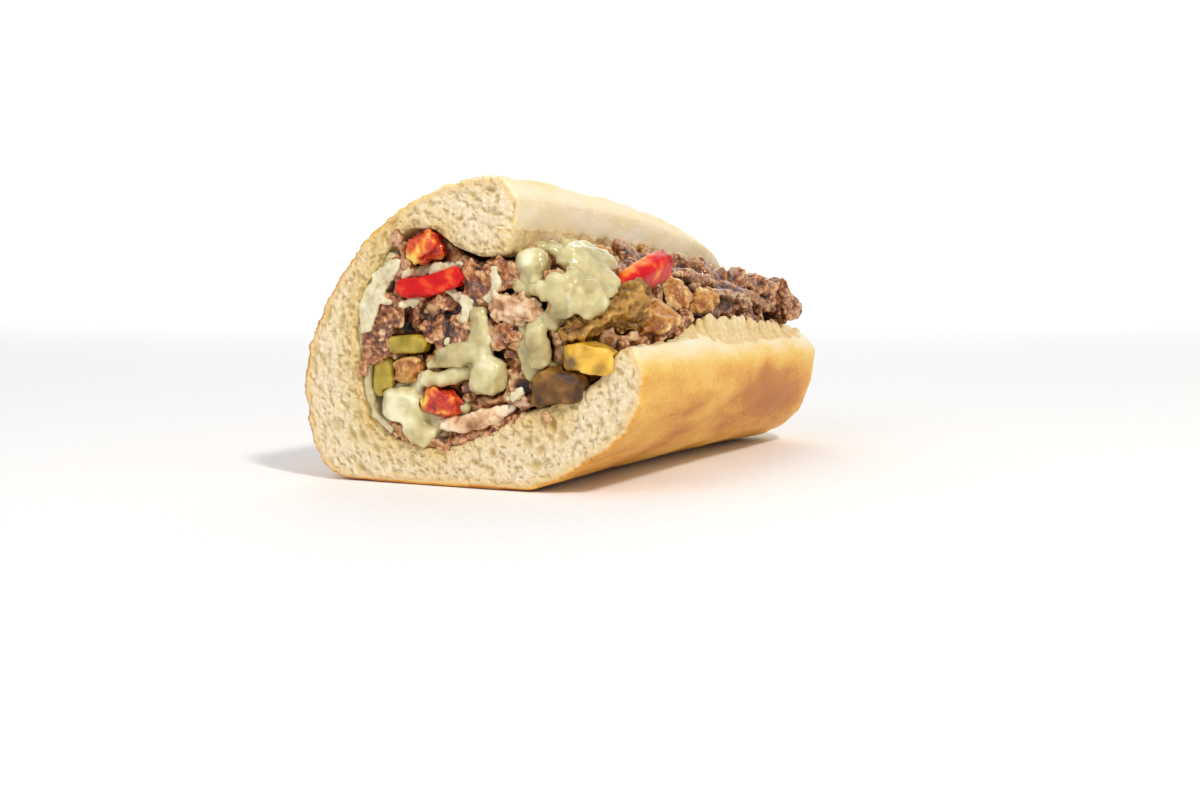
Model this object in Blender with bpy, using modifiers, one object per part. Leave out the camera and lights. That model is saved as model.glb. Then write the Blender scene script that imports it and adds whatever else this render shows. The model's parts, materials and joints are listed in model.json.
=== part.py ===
"""Half of a hot submarine sandwich: a hinge-cut roll filled with chopped steak, peppers, onion and melted cheese.

Units are metres, +Z is up and the roll lies along X. The cut face looks along -X, the mouth opens towards -Y,
and the flat underside rests on Z = 0. Outlines and the places of the filling are given in millimetres.
"""

import math
import random

import bmesh
import bpy
from mathutils import Matrix, Quaternion, Vector, noise
from mathutils.geometry import interpolate_bezier

MM = 0.001

# Driving sizes of the roll
LENGTH = 154.0
PROUD = 2.0
CUT_X = -LENGTH / 2 + PROUD
FAR_X = LENGTH / 2
END_ROUNDING = 22.0
END_BLUNTNESS = 2.7
END_CENTRE = Vector((0.0, 24.0))
SMALLEST_END_SCALE = 0.22
CROWN_STARTS_AT = 37.0
CROWN_SLOPE = 0.16
CROWN_CURVE = 0.36
HINGE_TAPER = 0.10
FLAP_LEAN = 5.0
BELLY_FILL = 8.0
LIP_DROP = 3.0
UPPER_SETBACK = 8.0
CAVITY_CLOSES_FROM = 34.0
CAVITY_CLOSES_AT = 66.0
SHALLOWEST_CAVITY = 0.10
CRUST_WAVE = 0.7
CLEARANCE = 0.4
STEAK_CLEARANCE = 0.8
KNIFE_SIZE = 200.0

# Torn fold of crumb that stands behind the lower lip: its height across, and where along the roll it rises and sinks
FOLD_HEIGHT = 11.0
FOLD_BASE_HEIGHT = 0.8
FOLD_WEIGHTS = (0.35, 1.0, 0.75, 0.2)
FOLD_RISES = (-54.0, -4.0)
FOLD_SINKS = (12.0, 60.0)
FOLD_RIPPLE = 0.12
FOLD_RIPPLES_PER_MM = 0.9

# Resolution of the roll
OUTER_POINTS = 32
INNER_POINTS = 22
BODY_STATIONS = 15
END_STATIONS = 6

# Crust at the cut, from the upper lip over the crown and round the base to the lower lip (Y, Z)
CRUST_OUTLINE = (
    (-13.2, 65.0), (-14.8, 70.5), (-13.8, 75.6), (-9.0, 78.0), (-1.5, 77.4), (9.9, 74.2), (19.5, 69.6),
    (29.3, 62.0), (37.2, 53.2), (43.6, 43.6), (47.6, 33.4), (48.9, 22.8), (47.9, 12.0), (44.0, 3.8),
    (36.5, 0.0), (22.7, 0.0), (4.0, 0.0), (-16.0, 0.0), (-25.0, 2.6), (-33.5, 7.4), (-41.8, 13.2),
    (-46.9, 19.2), (-49.0, 26.5), (-48.8, 32.8), (-45.8, 36.6),
)

# Soft crumb round the filling at the cut, from the lower lip round the hinge to the upper lip (Y, Z)
CRUMB_OUTLINE = (
    (-40.4, 33.5), (-36.5, 28.0), (-26.5, 22.8), (-15.5, 19.0), (-9.0, 15.2), (-0.5, 11.8), (8.5, 9.4),
    (19.5, 10.8), (27.0, 15.2), (30.2, 22.0), (30.8, 31.0), (32.0, 39.0), (30.0, 47.5), (25.0, 56.0),
    (19.0, 63.0), (12.0, 66.2), (5.0, 61.2), (-4.0, 57.6), (-12.0, 58.6),
)

# The filling
CORE_FRONT = CUT_X + 4.5
CORE_END = 61.0
MOUTH_BULGE = 6.5
CORE_BULGE = 0.5
CORE_INSET = 1.5
MOUTH_LEAN = 39.0
STEAK_SEED = 11
STEAK_ROUGH = 0.6
STEAK_SKIN_CELL = 1.15
STEAK_FACES = 2250
CUT_ROWS = 7
CUT_COLUMNS = 8
CUT_GRID_CORNER = (-38.0, 14.0)
CUT_GRID_STEP = (9.6, 7.8)
CUT_GRID_STAGGER = 4.6
MOUTH_ROWS = 4
MOUTH_COLUMNS = 13
MOUTH_GRID_START = -70.0
MOUTH_GRID_STEP = (10.4, 0.25)
MOUTH_GRID_STAGGER = 4.8
LOWEST_MOUTH_SHARE = 0.13
SHRED_SHARE = 0.35

# The smear along the hinge side of the cavity, thickest below its top corner
LINING_THICKNESS = 1.9
LINING_BULGE = 1.5
LINING_BULGE_AT = 14.0
LINING_BULGE_SPREAD = 1.6
LINING_END = 30.0
LINING_SPAN = (9, 17)

# Colours of the plain model, as sRGB fractions, and their roughness
FINISHES = {
    "crust": ((0.86, 0.64, 0.34), 0.7),
    "steak": ((0.36, 0.25, 0.20), 0.45),
    "cheese": ((0.86, 0.86, 0.68), 0.4),
    "red_pepper": ((0.84, 0.12, 0.09), 0.25),
    "hot_pepper": ((0.80, 0.26, 0.10), 0.35),
    "green_pepper": ((0.56, 0.56, 0.14), 0.3),
    "cooked_pepper": ((0.50, 0.40, 0.16), 0.25),
    "yellow_pepper": ((0.86, 0.64, 0.16), 0.25),
    "onion": ((0.76, 0.60, 0.38), 0.3),
    "sauced": ((0.88, 0.76, 0.62), 0.5),
    "mayonnaise": ((0.90, 0.88, 0.76), 0.35),
}


# Curves and ramps

def spline(points, count):
    """Evenly spaced points on a smooth open curve through the given ones."""
    points = [Vector((*point, 0.0)) for point in points]
    before = [points[0]] + points[:-1]
    after = points[1:] + [points[-1]]
    slopes = [(b - a) / 6 for a, b in zip(before, after)]
    dense = []
    for k in range(len(points) - 1):
        dense += interpolate_bezier(points[k], points[k] + slopes[k], points[k + 1] - slopes[k + 1], points[k + 1], 13)
    travelled = [0.0]
    for a, b in zip(dense, dense[1:]):
        travelled.append(travelled[-1] + (b - a).length)
    found = []
    index = 0
    for k in range(count):
        target = travelled[-1] * k / (count - 1)
        while index < len(dense) - 2 and travelled[index + 1] < target:
            index += 1
        span = max(travelled[index + 1] - travelled[index], 1e-9)
        found.append(dense[index].lerp(dense[index + 1], (target - travelled[index]) / span).to_2d())
    return found


def smooth_step(low, high, value):
    t = min(1.0, max(0.0, (value - low) / (high - low)))
    return t * t * (3 - 2 * t)


CRUST = spline(CRUST_OUTLINE, OUTER_POINTS)
CRUMB = spline(CRUMB_OUTLINE, INNER_POINTS)


# The roll

def along_roll(point, x):
    """A (Y, Z) point of the cut's outline, moved to station x.

    Towards the far end the crown sinks, the upper lip leans out, the hinge side draws in, the belly under the
    lower lip fills out, and that lip's crust dips. The end itself is rounded.
    """
    share = (x - CUT_X) / (FAR_X - CUT_X)
    y, z = point
    at_upper_lip = smooth_step(40, 55, z) * (1 - smooth_step(-10, 10, y))
    at_belly = smooth_step(14, 40, -y) * (1 - smooth_step(14, 30, z))
    at_lower_lip = smooth_step(36, 42, -y) * smooth_step(28, 35, z)
    z -= max(0.0, z - CROWN_STARTS_AT) * (CROWN_SLOPE * share + CROWN_CURVE * share**3)
    z = max(0.0, z - BELLY_FILL * share**2 * at_belly) - LIP_DROP * smooth_step(-35, 0, x) * at_lower_lip
    y -= max(0.0, y) * HINGE_TAPER * share**2 + FLAP_LEAN * share**2 * at_upper_lip
    beyond = min(1.0, max(0.0, (x - FAR_X + END_ROUNDING) / END_ROUNDING))
    scale = max(SMALLEST_END_SCALE, (1 - beyond**END_BLUNTNESS) ** (1 / END_BLUNTNESS))
    return END_CENTRE + (Vector((y, z)) - END_CENTRE) * scale


def set_back(x, z):
    """The upper jaw ends before the lower one."""
    return x - UPPER_SETBACK * smooth_step(36, 60, z) * smooth_step(10, FAR_X, x)


def place_at(x, corner):
    return Vector((set_back(x, corner.y), corner.x, corner.y))


def cavity_point(index, x):
    """A point of the crumb outline at station x. Towards the closed end the cavity gets shallow."""
    depth = 1 - (1 - SHALLOWEST_CAVITY) * smooth_step(CAVITY_CLOSES_FROM, CAVITY_CLOSES_AT, x)
    chord = CRUMB[0].lerp(CRUMB[-1], index / (INNER_POINTS - 1))
    return along_roll(chord + (CRUMB[index] - chord) * depth, x)


def fold_points(x):
    """The torn ridge between the lower lip and the cavity, low at the cut and high halfway along."""
    height = FOLD_HEIGHT * smooth_step(*FOLD_RISES, x) * (1 - 0.5 * smooth_step(*FOLD_SINKS, x))
    height = FOLD_BASE_HEIGHT + height * (1 + FOLD_RIPPLE * math.sin(x * FOLD_RIPPLES_PER_MM))
    root = CRUST[-1].lerp(CRUMB[0], 0.25)
    width = CRUMB[0].x - root.x
    points = []
    for k, weight in enumerate(FOLD_WEIGHTS):
        share = (k + 0.5) / len(FOLD_WEIGHTS)
        base = root.lerp(CRUMB[0], share)
        points.append(along_roll(base + Vector((width * 0.1, height * weight)), x))
    return points


def station_places():
    """X of each ring: even along the body, then closer and closer round the end."""
    body_end = FAR_X - END_ROUNDING
    body = [CUT_X + (body_end - CUT_X) * k / (BODY_STATIONS - 1) for k in range(BODY_STATIONS)]
    end = [body_end + END_ROUNDING * math.sin(math.pi / 2 * k / END_STATIONS) for k in range(1, END_STATIONS + 1)]
    return body + end


def crust_wave(place):
    """Slow swelling of the crust, with none on the flat base."""
    return CRUST_WAVE * noise.noise(place * 0.055) * smooth_step(0.0, 4.0, place.z)


def ring(x):
    """Corners of the C-shaped section at station x: the crust, the torn fold and the crumb of the cavity."""
    corners = [along_roll(p, x) for p in CRUST] + fold_points(x) + [cavity_point(k, x) for k in range(INNER_POINTS)]
    waved = []
    for k, corner in enumerate(corners):
        along = corners[(k + 1) % len(corners)] - corners[k - 1]
        outward = Vector((-along.y, along.x)).normalized()
        wave = crust_wave(place_at(x, corner)) if 0 < k < OUTER_POINTS - 1 else 0.0
        waved.append(corner + outward * wave)
    return waved


def loft(rings, name):
    """Closed solid through rings of equal count, with flat ends."""
    bm = bmesh.new()
    loops = [[bm.verts.new(place * MM) for place in places] for places in rings]
    for first, second in zip(loops, loops[1:]):
        for k in range(len(first)):
            after = (k + 1) % len(first)
            bm.faces.new((first[k], first[after], second[after], second[k]))
    bm.faces.new(loops[0][::-1])
    bm.faces.new(loops[-1])
    return mesh_from(triangulated(bm), name)


def triangulated(bm):
    """Splits every face, so that a swollen copy keeps the same creases."""
    bm.normal_update()
    bmesh.ops.triangulate(bm, faces=bm.faces, ngon_method="EAR_CLIP")
    bmesh.ops.recalc_face_normals(bm, faces=bm.faces)
    return bm


def roll_mesh():
    return loft([[place_at(x, corner) for corner in ring(x)] for x in station_places()], "roll")


# The filling

def mouth_point(x, share, bulge):
    """A point across the mouth at station x, from the lower lip (0) to the upper lip (1)."""
    low = cavity_point(0, x)
    high = cavity_point(INNER_POINTS - 1, x)
    across = high - low
    outward = Vector((-across.y, across.x)).normalized()
    return low + across * share + outward * bulge * math.sin(math.pi * share)


def core_ring(x):
    """Section of the hidden heart of the filling, inside the crumb by the clearance and inside the mouth."""
    crumb = [cavity_point(k, x) for k in range(INNER_POINTS)]
    corners = []
    for k in range(1, INNER_POINTS - 1):
        along = crumb[k + 1] - crumb[k - 1]
        inward = Vector((-along.y, along.x)).normalized()
        corners.append(crumb[k] + inward * CORE_INSET)
    corners += [mouth_point(x, share, CORE_BULGE) for share in (0.85, 0.65, 0.45, 0.25, 0.12)]
    return [place_at(x, corner) for corner in corners]


def core_mesh():
    stations = [CORE_FRONT] + [x for x in station_places() if CORE_FRONT < x < CORE_END]
    return loft([core_ring(x) for x in stations], "steak_core")


def lump(centre, size, axis=(1, 0, 0), roll=0.0, seed=0, around=9, along=7, rough=0.25, squareness=2.6, bend=0.0):
    """Uneven rounded block: its length follows the axis, and the bend curls its ends towards its own -Z."""
    bm = bmesh.new()
    bmesh.ops.create_uvsphere(
        bm, u_segments=around, v_segments=along, radius=1.0, matrix=Matrix.Rotation(math.pi / 2, 4, "Y")
    )
    shift = Vector((1.37, 2.11, 0.73)) * seed
    turn = Vector(axis).to_track_quat("X", "Z") @ Quaternion((1, 0, 0), math.radians(roll))
    for vert in bm.verts:
        ray = vert.co.normalized()
        reach = sum(abs(c) ** squareness for c in ray) ** (-1 / squareness)
        reach *= 1 + rough * noise.noise(ray * 1.6 + shift)
        local = Vector([c * reach * s / 2 for c, s in zip(ray, size)])
        local.z -= bend * (2 * local.x / size[0]) ** 2
        vert.co = (Vector(centre) + turn @ local) * MM
    return mesh_from(triangulated(bm), "lump")


def between(start, end, width, depth, **details):
    """A lump laid from one place to another."""
    start, end = Vector(start), Vector(end)
    return lump((start + end) / 2, ((end - start).length, depth, width), end - start, **details)


def steak_lump(centre, size, axis, roll, rng):
    return lump(centre, size, axis, roll, seed=rng.random() * 40, around=7, along=5, rough=STEAK_ROUGH)


def steak_on_cut(rng):
    """Chunks that show in the cut face, on a jittered grid over the filling's section."""
    outline = [cavity_point(k, CUT_X) for k in range(INNER_POINTS)]
    outline += [mouth_point(CUT_X, share, MOUTH_BULGE) for share in (0.8, 0.6, 0.4, 0.2)]
    pieces = []
    for row in range(CUT_ROWS):
        for column in range(CUT_COLUMNS):
            y = CUT_GRID_CORNER[0] + column * CUT_GRID_STEP[0] + (row % 2) * CUT_GRID_STAGGER + rng.uniform(-2, 2)
            z = CUT_GRID_CORNER[1] + row * CUT_GRID_STEP[1] + rng.uniform(-1.5, 1.5)
            if not inside(outline, y, z, 2.5):
                continue
            size = (rng.uniform(8, 14), rng.uniform(9, 12), rng.uniform(5, 8.5))
            axis = (rng.uniform(-0.3, 0.3), rng.uniform(-1, 1), rng.uniform(-0.6, 0.6))
            centre = (CUT_X + rng.uniform(1.5, 4.5), y, z)
            pieces.append(steak_lump(centre, size, axis, rng.uniform(-30, 30), rng))
    return pieces


def steak_in_mouth(rng):
    """Chunks and shreds that show between the lips, on a jittered grid from the cut to the closed end."""
    pieces = []
    for column in range(MOUTH_COLUMNS):
        for row in range(MOUTH_ROWS):
            x = MOUTH_GRID_START + column * MOUTH_GRID_STEP[0] + (row % 2) * MOUTH_GRID_STAGGER + rng.uniform(-2, 2)
            share = LOWEST_MOUTH_SHARE + row * MOUTH_GRID_STEP[1] + rng.uniform(-0.05, 0.05)
            corner = mouth_point(x, share, MOUTH_BULGE - 3.0 + rng.uniform(-1.0, 1.0))
            shred = rng.random() < SHRED_SHARE
            size = (rng.uniform(14, 19), 5.0, 4.5) if shred else (rng.uniform(9, 14), rng.uniform(7, 10), 6.5)
            axis = (rng.uniform(0.2, 1), rng.uniform(-0.5, 0.5), rng.uniform(-0.4, 0.4))
            pieces.append(steak_lump(place_at(x, corner), size, axis, MOUTH_LEAN, rng))
    return pieces


def steak_past_flap(rng):
    """The chunks heaped on the closed end, beyond the upper jaw."""
    spots = ((60, -27, 46, 12), (66, -31, 45, 11), (63, -36, 42, 9), (55, -34, 47, 13))
    return [
        steak_lump((x, y, z), (length, 8.5, 7.5), (1, rng.uniform(-0.6, 0.6), -0.2), MOUTH_LEAN, rng)
        for x, y, z, length in spots
    ]


def inside(outline, y, z, margin):
    """True when the point is within the closed outline and at least the margin away from its corners."""
    crossings = 0
    for a, b in zip(outline, outline[1:] + outline[:1]):
        if (a.y > z) != (b.y > z) and y < a.x + (b.x - a.x) * (z - a.y) / (b.y - a.y):
            crossings += 1
    nearest = min((corner - Vector((y, z))).length for corner in outline)
    return crossings % 2 == 1 and nearest > margin


def lining_mesh():
    """The smear of mayonnaise and cheese that lines the crumb on the hinge side, a layer along the cavity."""
    rings = []
    for x in [x for x in station_places() if x < LINING_END]:
        crumb = [cavity_point(k, x) for k in range(INNER_POINTS)]
        near, far = [], []
        for k in range(*LINING_SPAN):
            along = crumb[k + 1] - crumb[k - 1]
            inward = Vector((-along.y, along.x)).normalized()
            swell = 1 + 0.4 * noise.noise(Vector((x * 0.09, k * 0.9, 0)))
            swell += LINING_BULGE * math.exp(-((k - LINING_BULGE_AT) / LINING_BULGE_SPREAD) ** 2)
            near.append(crumb[k] + inward * CLEARANCE)
            far.append(crumb[k] + inward * (CLEARANCE + LINING_THICKNESS * swell))
        rings.append([place_at(x, corner) for corner in near + far[::-1]])
    return loft(rings, "lining")


def toppings():
    """Name, finish and lumps of each topping, those in front first."""
    face = CUT_X - 0.5
    return [
        ("red_pepper_on_cut", "red_pepper", [
            between((face + 1, 19.4, 48.6), (face, -0.6, 52.6), 5.4, 6, seed=3, around=12, rough=0.1,
                    squareness=5.0, bend=-1.2),
        ]),
        ("red_pepper_in_mouth", "red_pepper", [
            between((-56, -34.0, 50.0), (-33, -37.0, 56.5), 8.5, 6, seed=9, around=12, rough=0.1,
                    squareness=6.0, roll=25, bend=0.6),
        ]),
        ("hot_pepper_top", "hot_pepper", [
            lump((face + 2, 12.2, 59.8), (10, 9, 8.5), (0, 1, -0.6), seed=5, rough=0.5),
        ]),
        ("relish_low", "hot_pepper", [
            lump((face + 1, 6.8, 21.2), (10.5, 6, 7), (0, 1, 0.2), seed=8, rough=0.6),
        ]),
        ("yellow_pepper", "yellow_pepper", [
            lump((face + 2, -34.2, 33.4), (14.5, 8, 8.0), (0.2, 1, 0.1), seed=12, around=8, rough=0.2,
                 squareness=4.5, bend=1.0),
        ]),
        ("cooked_pepper_low", "cooked_pepper", [
            lump((face + 2, -25.8, 26.2), (15, 8, 10.5), (0, 1, -0.1), seed=14, rough=0.2, squareness=3.0,
                 bend=0.8),
        ]),
        ("cooked_pepper_long", "cooked_pepper", [
            between((face + 0.5, -27.5, 37.5), (-50, -39.5, 48.5), 11.0, 6, seed=17, rough=0.25,
                    squareness=3.2, roll=20, bend=-1.5),
            lump((-60, -37.5, 44.5), (14, 7, 10), (0.6, -0.6, 0.5), seed=18, rough=0.25, squareness=3.0),
        ]),
        ("cheese_on_corner", "cheese", [
            lump((-60, -26.5, 57.0), (20, 12, 7), (1, -0.2, 0.0), MOUTH_LEAN, seed=21, rough=0.4),
            lump((-62, -32.0, 49.5), (17, 12, 7), (1, -0.3, -0.2), MOUTH_LEAN + 15, seed=23, rough=0.4),
            lump((-71, -31.0, 46.5), (9, 12, 12), (0.3, 1, 0.5), seed=24, rough=0.4),
        ]),
        ("cheese_knob", "cheese", [
            lump((-73, -17.6, 55.6), (9, 7.5, 9.5), (0.3, 1, -0.2), seed=22, rough=0.35),
        ]),
        ("cheese_column", "cheese", [
            between((face + 1, -19.0, 41.4), (face + 1, -21.2, 29.6), 7.0, 6, roll=90, seed=25, rough=0.4),
        ]),
        ("cheese_middle", "cheese", [
            between((face + 1, 9.0, 30.6), (face + 1, -8.0, 35.2), 5.0, 6, seed=27, rough=0.4),
            lump((face + 1, -6.0, 28.2), (9.5, 7, 10.5), (0, 1, 0.3), seed=28, rough=0.4),
        ]),
        ("cheese_low", "cheese", [
            lump((face + 1.5, 18.0, 19.8), (14, 7, 10), (0, 1, 0.2), seed=31, rough=0.35),
            lump((face + 1.5, 13.2, 13.6), (9, 6, 8), (0, 1, 0.7), seed=32, rough=0.4),
        ]),
        ("green_pepper_bar", "green_pepper", [
            between((face + 1, 22.0, 35.3), (face + 1, 10.8, 36.0), 4.8, 6, seed=34, around=12, rough=0.1,
                    squareness=5.0),
        ]),
        ("green_pepper_upright", "green_pepper", [
            between((face + 2, 24.4, 32.6), (face + 2, 25.2, 21.8), 6, 3.2, seed=36, rough=0.1, squareness=3.4),
        ]),
        ("onion_on_cut", "onion", [
            lump((face + 2, 17.2, 29.2), (9, 6, 6.5), (0, 1, -0.3), seed=38, rough=0.3, squareness=3.0),
        ]),
        ("onion_in_mouth", "onion", [
            lump((-24, -36.5, 49.0), (13, 9.5, 3.8), (1, 0.3, 0.3), MOUTH_LEAN, seed=41, rough=0.3,
                 squareness=3.0, bend=2.0),
        ]),
        ("onion_on_lip", "onion", [
            lump((-48, -40.6, 42.8), (16, 9.5, 4.2), (1, -0.2, 0.2), MOUTH_LEAN, seed=43, rough=0.3,
                 squareness=3.0, bend=1.6),
        ]),
        ("onion_on_fold", "onion", [
            lump((-8, -38.4, 46.6), (18, 7, 3.6), (1, 0.1, 0.2), MOUTH_LEAN, seed=44, rough=0.3,
                 squareness=3.0, bend=1.6),
        ]),
        ("onion_under_flap", "onion", [
            lump((-46, -23.0, 58.0), (13, 7, 4.0), (1, -0.3, 0.0), MOUTH_LEAN, seed=45, rough=0.2),
        ]),
        ("sauced_chunk", "sauced", [
            lump((face + 1, -14.8, 45.2), (13.5, 8, 8.5), (0, 1, 0.1), seed=47, rough=0.5),
        ]),
        ("sauced_crescent", "sauced", [
            between((face + 1, 7.2, 14.0), (face + 1, -13.2, 19.4), 4.6, 6, seed=49, rough=0.3, bend=-1.5),
        ]),
    ]


# Solids and Booleans

def mesh_from(bm, name):
    mesh = bpy.data.meshes.new(name)
    bm.to_mesh(mesh)
    bm.free()
    return mesh


def new_collection(name):
    collection = bpy.data.collections.new(name)
    bpy.context.scene.collection.children.link(collection)
    return collection


def put(mesh, name, collection):
    obj = bpy.data.objects.new(name, mesh)
    collection.objects.link(obj)
    if collection.hide_render:
        obj.display_type = "WIRE"
    return obj


def boolean(obj, operation, collection):
    """Applies one Boolean with every object of the collection, then removes those objects."""
    modifier = obj.modifiers.new(operation.lower(), "BOOLEAN")
    modifier.operation = operation
    modifier.operand_type = "COLLECTION"
    modifier.collection = collection
    modifier.solver = "MANIFOLD"
    apply_modifiers(obj)
    for operand in list(collection.objects):
        bpy.data.objects.remove(operand)


def swollen(mesh, distance):
    """A copy of a solid, grown along its normals."""
    bm = bmesh.new()
    bm.from_mesh(mesh)
    bm.normal_update()
    for vert in bm.verts:
        vert.co += vert.normal * distance * MM
    return mesh_from(bm, "clearance")


def keep_main_shell(obj):
    """Drops loose scraps and fills sealed hollows: only the largest shell stays."""
    bm = bmesh.new()
    bm.from_mesh(obj.data)
    bmesh.ops.remove_doubles(bm, verts=bm.verts, dist=1e-7)
    unseen = set(bm.faces)
    shells = []
    while unseen:
        shell = {unseen.pop()}
        edge_of_shell = list(shell)
        while edge_of_shell:
            face = edge_of_shell.pop()
            for edge in face.edges:
                neighbours = edge.link_faces if len(edge.link_faces) == 2 else ()
                for neighbour in neighbours:
                    if neighbour in unseen:
                        unseen.discard(neighbour)
                        shell.add(neighbour)
                        edge_of_shell.append(neighbour)
        shells.append(shell)
    largest = max(shells, key=lambda shell: sum(face.calc_area() for face in shell))
    bmesh.ops.delete(bm, geom=[face for face in bm.faces if face not in largest], context="FACES")
    bm.to_mesh(obj.data)
    bm.free()


def apply_modifiers(obj):
    graph = bpy.context.evaluated_depsgraph_get()
    result = bpy.data.meshes.new_from_object(obj.evaluated_get(graph))
    obj.modifiers.clear()
    obj.data = result


def thin_out(obj, faces):
    """Collapses edges until about the given number of triangles is left."""
    triangles = sum(len(polygon.vertices) - 2 for polygon in obj.data.polygons)
    modifier = obj.modifiers.new("thin", "DECIMATE")
    modifier.ratio = min(1.0, faces / triangles)
    apply_modifiers(obj)


def even_skin(obj, cell, faces):
    """Replaces the seams of fused pieces with an even skin of about the given number of triangles."""
    modifier = obj.modifiers.new("skin", "REMESH")
    modifier.mode = "VOXEL"
    modifier.voxel_size = cell * MM
    apply_modifiers(obj)
    thin_out(obj, faces)


def knife_block():
    """Everything in front of the proudest piece of the cut face."""
    bm = bmesh.new()
    bmesh.ops.create_cube(bm, size=KNIFE_SIZE * MM)
    bmesh.ops.translate(bm, verts=bm.verts, vec=(-(LENGTH + KNIFE_SIZE) / 2 * MM, 0, 0))
    return mesh_from(bm, "knife")


def carve(obj, meshes, workshop):
    for mesh in meshes:
        put(mesh.copy(), "cutter", workshop)
    boolean(obj, "DIFFERENCE", workshop)
    keep_main_shell(obj)


# Finishing

def material_for(finish):
    found = bpy.data.materials.get(finish)
    if found:
        return found
    colour, roughness = FINISHES[finish]
    material = bpy.data.materials.new(finish)
    material.use_nodes = True
    shader = material.node_tree.nodes["Principled BSDF"]
    shader.inputs["Base Color"].default_value = (*[c**2.2 for c in colour], 1)
    shader.inputs["Roughness"].default_value = roughness
    return material


def finish_node(obj, finish):
    obj.data.materials.clear()
    obj.data.materials.append(material_for(finish))
    obj.data.polygons.foreach_set("use_smooth", [True] * len(obj.data.polygons))
    obj.data.set_sharp_from_angle(angle=math.radians(50))


def centre_on_base(objects):
    """Moves the whole so that its box is centred on the origin and stands on Z = 0."""
    places = [vert.co for obj in objects for vert in obj.data.vertices]
    low = Vector([min(place[k] for place in places) for k in range(3)])
    high = Vector([max(place[k] for place in places) for k in range(3)])
    shift = Vector(((low.x + high.x) / -2, (low.y + high.y) / -2, -low.z))
    for obj in objects:
        for vert in obj.data.vertices:
            vert.co += shift


def clear_scene():
    for obj in list(bpy.data.objects):
        bpy.data.objects.remove(obj)


def main():
    clear_scene()
    sandwich = new_collection("submarine_sandwich")
    workshop = new_collection("cutters")
    workshop.hide_render = True
    rng = random.Random(STEAK_SEED)

    roll = put(roll_mesh(), "roll", sandwich)
    roll_space = swollen(roll.data, CLEARANCE)
    steak_cutters = [swollen(roll.data, STEAK_CLEARANCE)]
    knife = knife_block()

    in_front = []
    topping_nodes = []
    for name, finish, lumps in toppings():
        node = put(lumps[0].copy(), name, sandwich)
        for extra in lumps[1:]:
            put(extra.copy(), "part", workshop)
        if len(lumps) > 1:
            boolean(node, "UNION", workshop)
        carve(node, [roll_space, knife] + in_front, workshop)
        in_front += [swollen(piece, CLEARANCE) for piece in lumps]
        steak_cutters += [swollen(piece, STEAK_CLEARANCE) for piece in lumps]
        topping_nodes.append((node, finish))

    lining = put(lining_mesh(), "mayonnaise_lining", sandwich)
    steak_cutters.append(swollen(lining.data, STEAK_CLEARANCE))
    carve(lining, in_front, workshop)
    topping_nodes.append((lining, "mayonnaise"))

    steak = put(core_mesh(), "steak", sandwich)
    for piece in steak_on_cut(rng) + steak_in_mouth(rng) + steak_past_flap(rng):
        put(piece, "piece", workshop)
    boolean(steak, "UNION", workshop)
    keep_main_shell(steak)
    even_skin(steak, STEAK_SKIN_CELL, STEAK_FACES)
    carve(steak, steak_cutters + [knife], workshop)

    finish_node(roll, "crust")
    finish_node(steak, "steak")
    for node, finish in topping_nodes:
        finish_node(node, finish)
    centre_on_base(list(sandwich.objects))


main()
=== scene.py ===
"""Half of a hot submarine sandwich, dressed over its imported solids.

A soft roll, hinged at the back and cut across, holds griddled chopped steak, melted cheese, peppers and
onion. The cut face looks towards -X, the open side towards -Y.
"""

import functools
import json
import math
import random

import bmesh
import bpy
from bpy.props import FloatProperty, FloatVectorProperty, IntProperty, PointerProperty
from mathutils import Matrix, Quaternion, Vector, noise
from mathutils.bvhtree import BVHTree

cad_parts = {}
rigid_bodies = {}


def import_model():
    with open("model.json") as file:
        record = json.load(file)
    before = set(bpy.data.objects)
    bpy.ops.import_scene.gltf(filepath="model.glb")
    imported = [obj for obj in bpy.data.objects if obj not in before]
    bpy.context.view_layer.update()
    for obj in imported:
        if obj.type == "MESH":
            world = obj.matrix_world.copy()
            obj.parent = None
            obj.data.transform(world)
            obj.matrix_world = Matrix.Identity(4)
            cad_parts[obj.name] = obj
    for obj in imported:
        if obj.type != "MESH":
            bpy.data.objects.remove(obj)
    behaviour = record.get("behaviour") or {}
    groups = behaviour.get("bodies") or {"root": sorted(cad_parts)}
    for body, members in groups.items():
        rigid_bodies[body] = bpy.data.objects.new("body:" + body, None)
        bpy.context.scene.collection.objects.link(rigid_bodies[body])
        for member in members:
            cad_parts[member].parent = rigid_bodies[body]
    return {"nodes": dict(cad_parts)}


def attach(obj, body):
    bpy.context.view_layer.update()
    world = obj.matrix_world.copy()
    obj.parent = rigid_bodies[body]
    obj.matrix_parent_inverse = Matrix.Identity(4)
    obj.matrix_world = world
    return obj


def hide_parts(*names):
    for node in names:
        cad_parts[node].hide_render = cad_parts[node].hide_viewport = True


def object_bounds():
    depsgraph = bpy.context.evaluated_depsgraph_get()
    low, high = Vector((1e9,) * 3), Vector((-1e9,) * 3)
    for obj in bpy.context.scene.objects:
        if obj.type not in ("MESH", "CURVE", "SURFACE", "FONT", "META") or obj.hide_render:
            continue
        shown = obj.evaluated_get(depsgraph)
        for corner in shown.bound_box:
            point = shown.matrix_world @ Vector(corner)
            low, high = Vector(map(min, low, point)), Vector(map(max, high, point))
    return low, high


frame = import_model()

bl_info = {
    "name": "Submarine sandwich",
    "version": (1, 0, 0),
    "blender": (4, 5, 0),
    "location": "View3D > Sidebar > Sandwich",
    "description": "Dresses a cut half of a hot steak sandwich over its solids",
    "category": "Object",
}

MM = 0.001
CAD_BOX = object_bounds()

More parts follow.
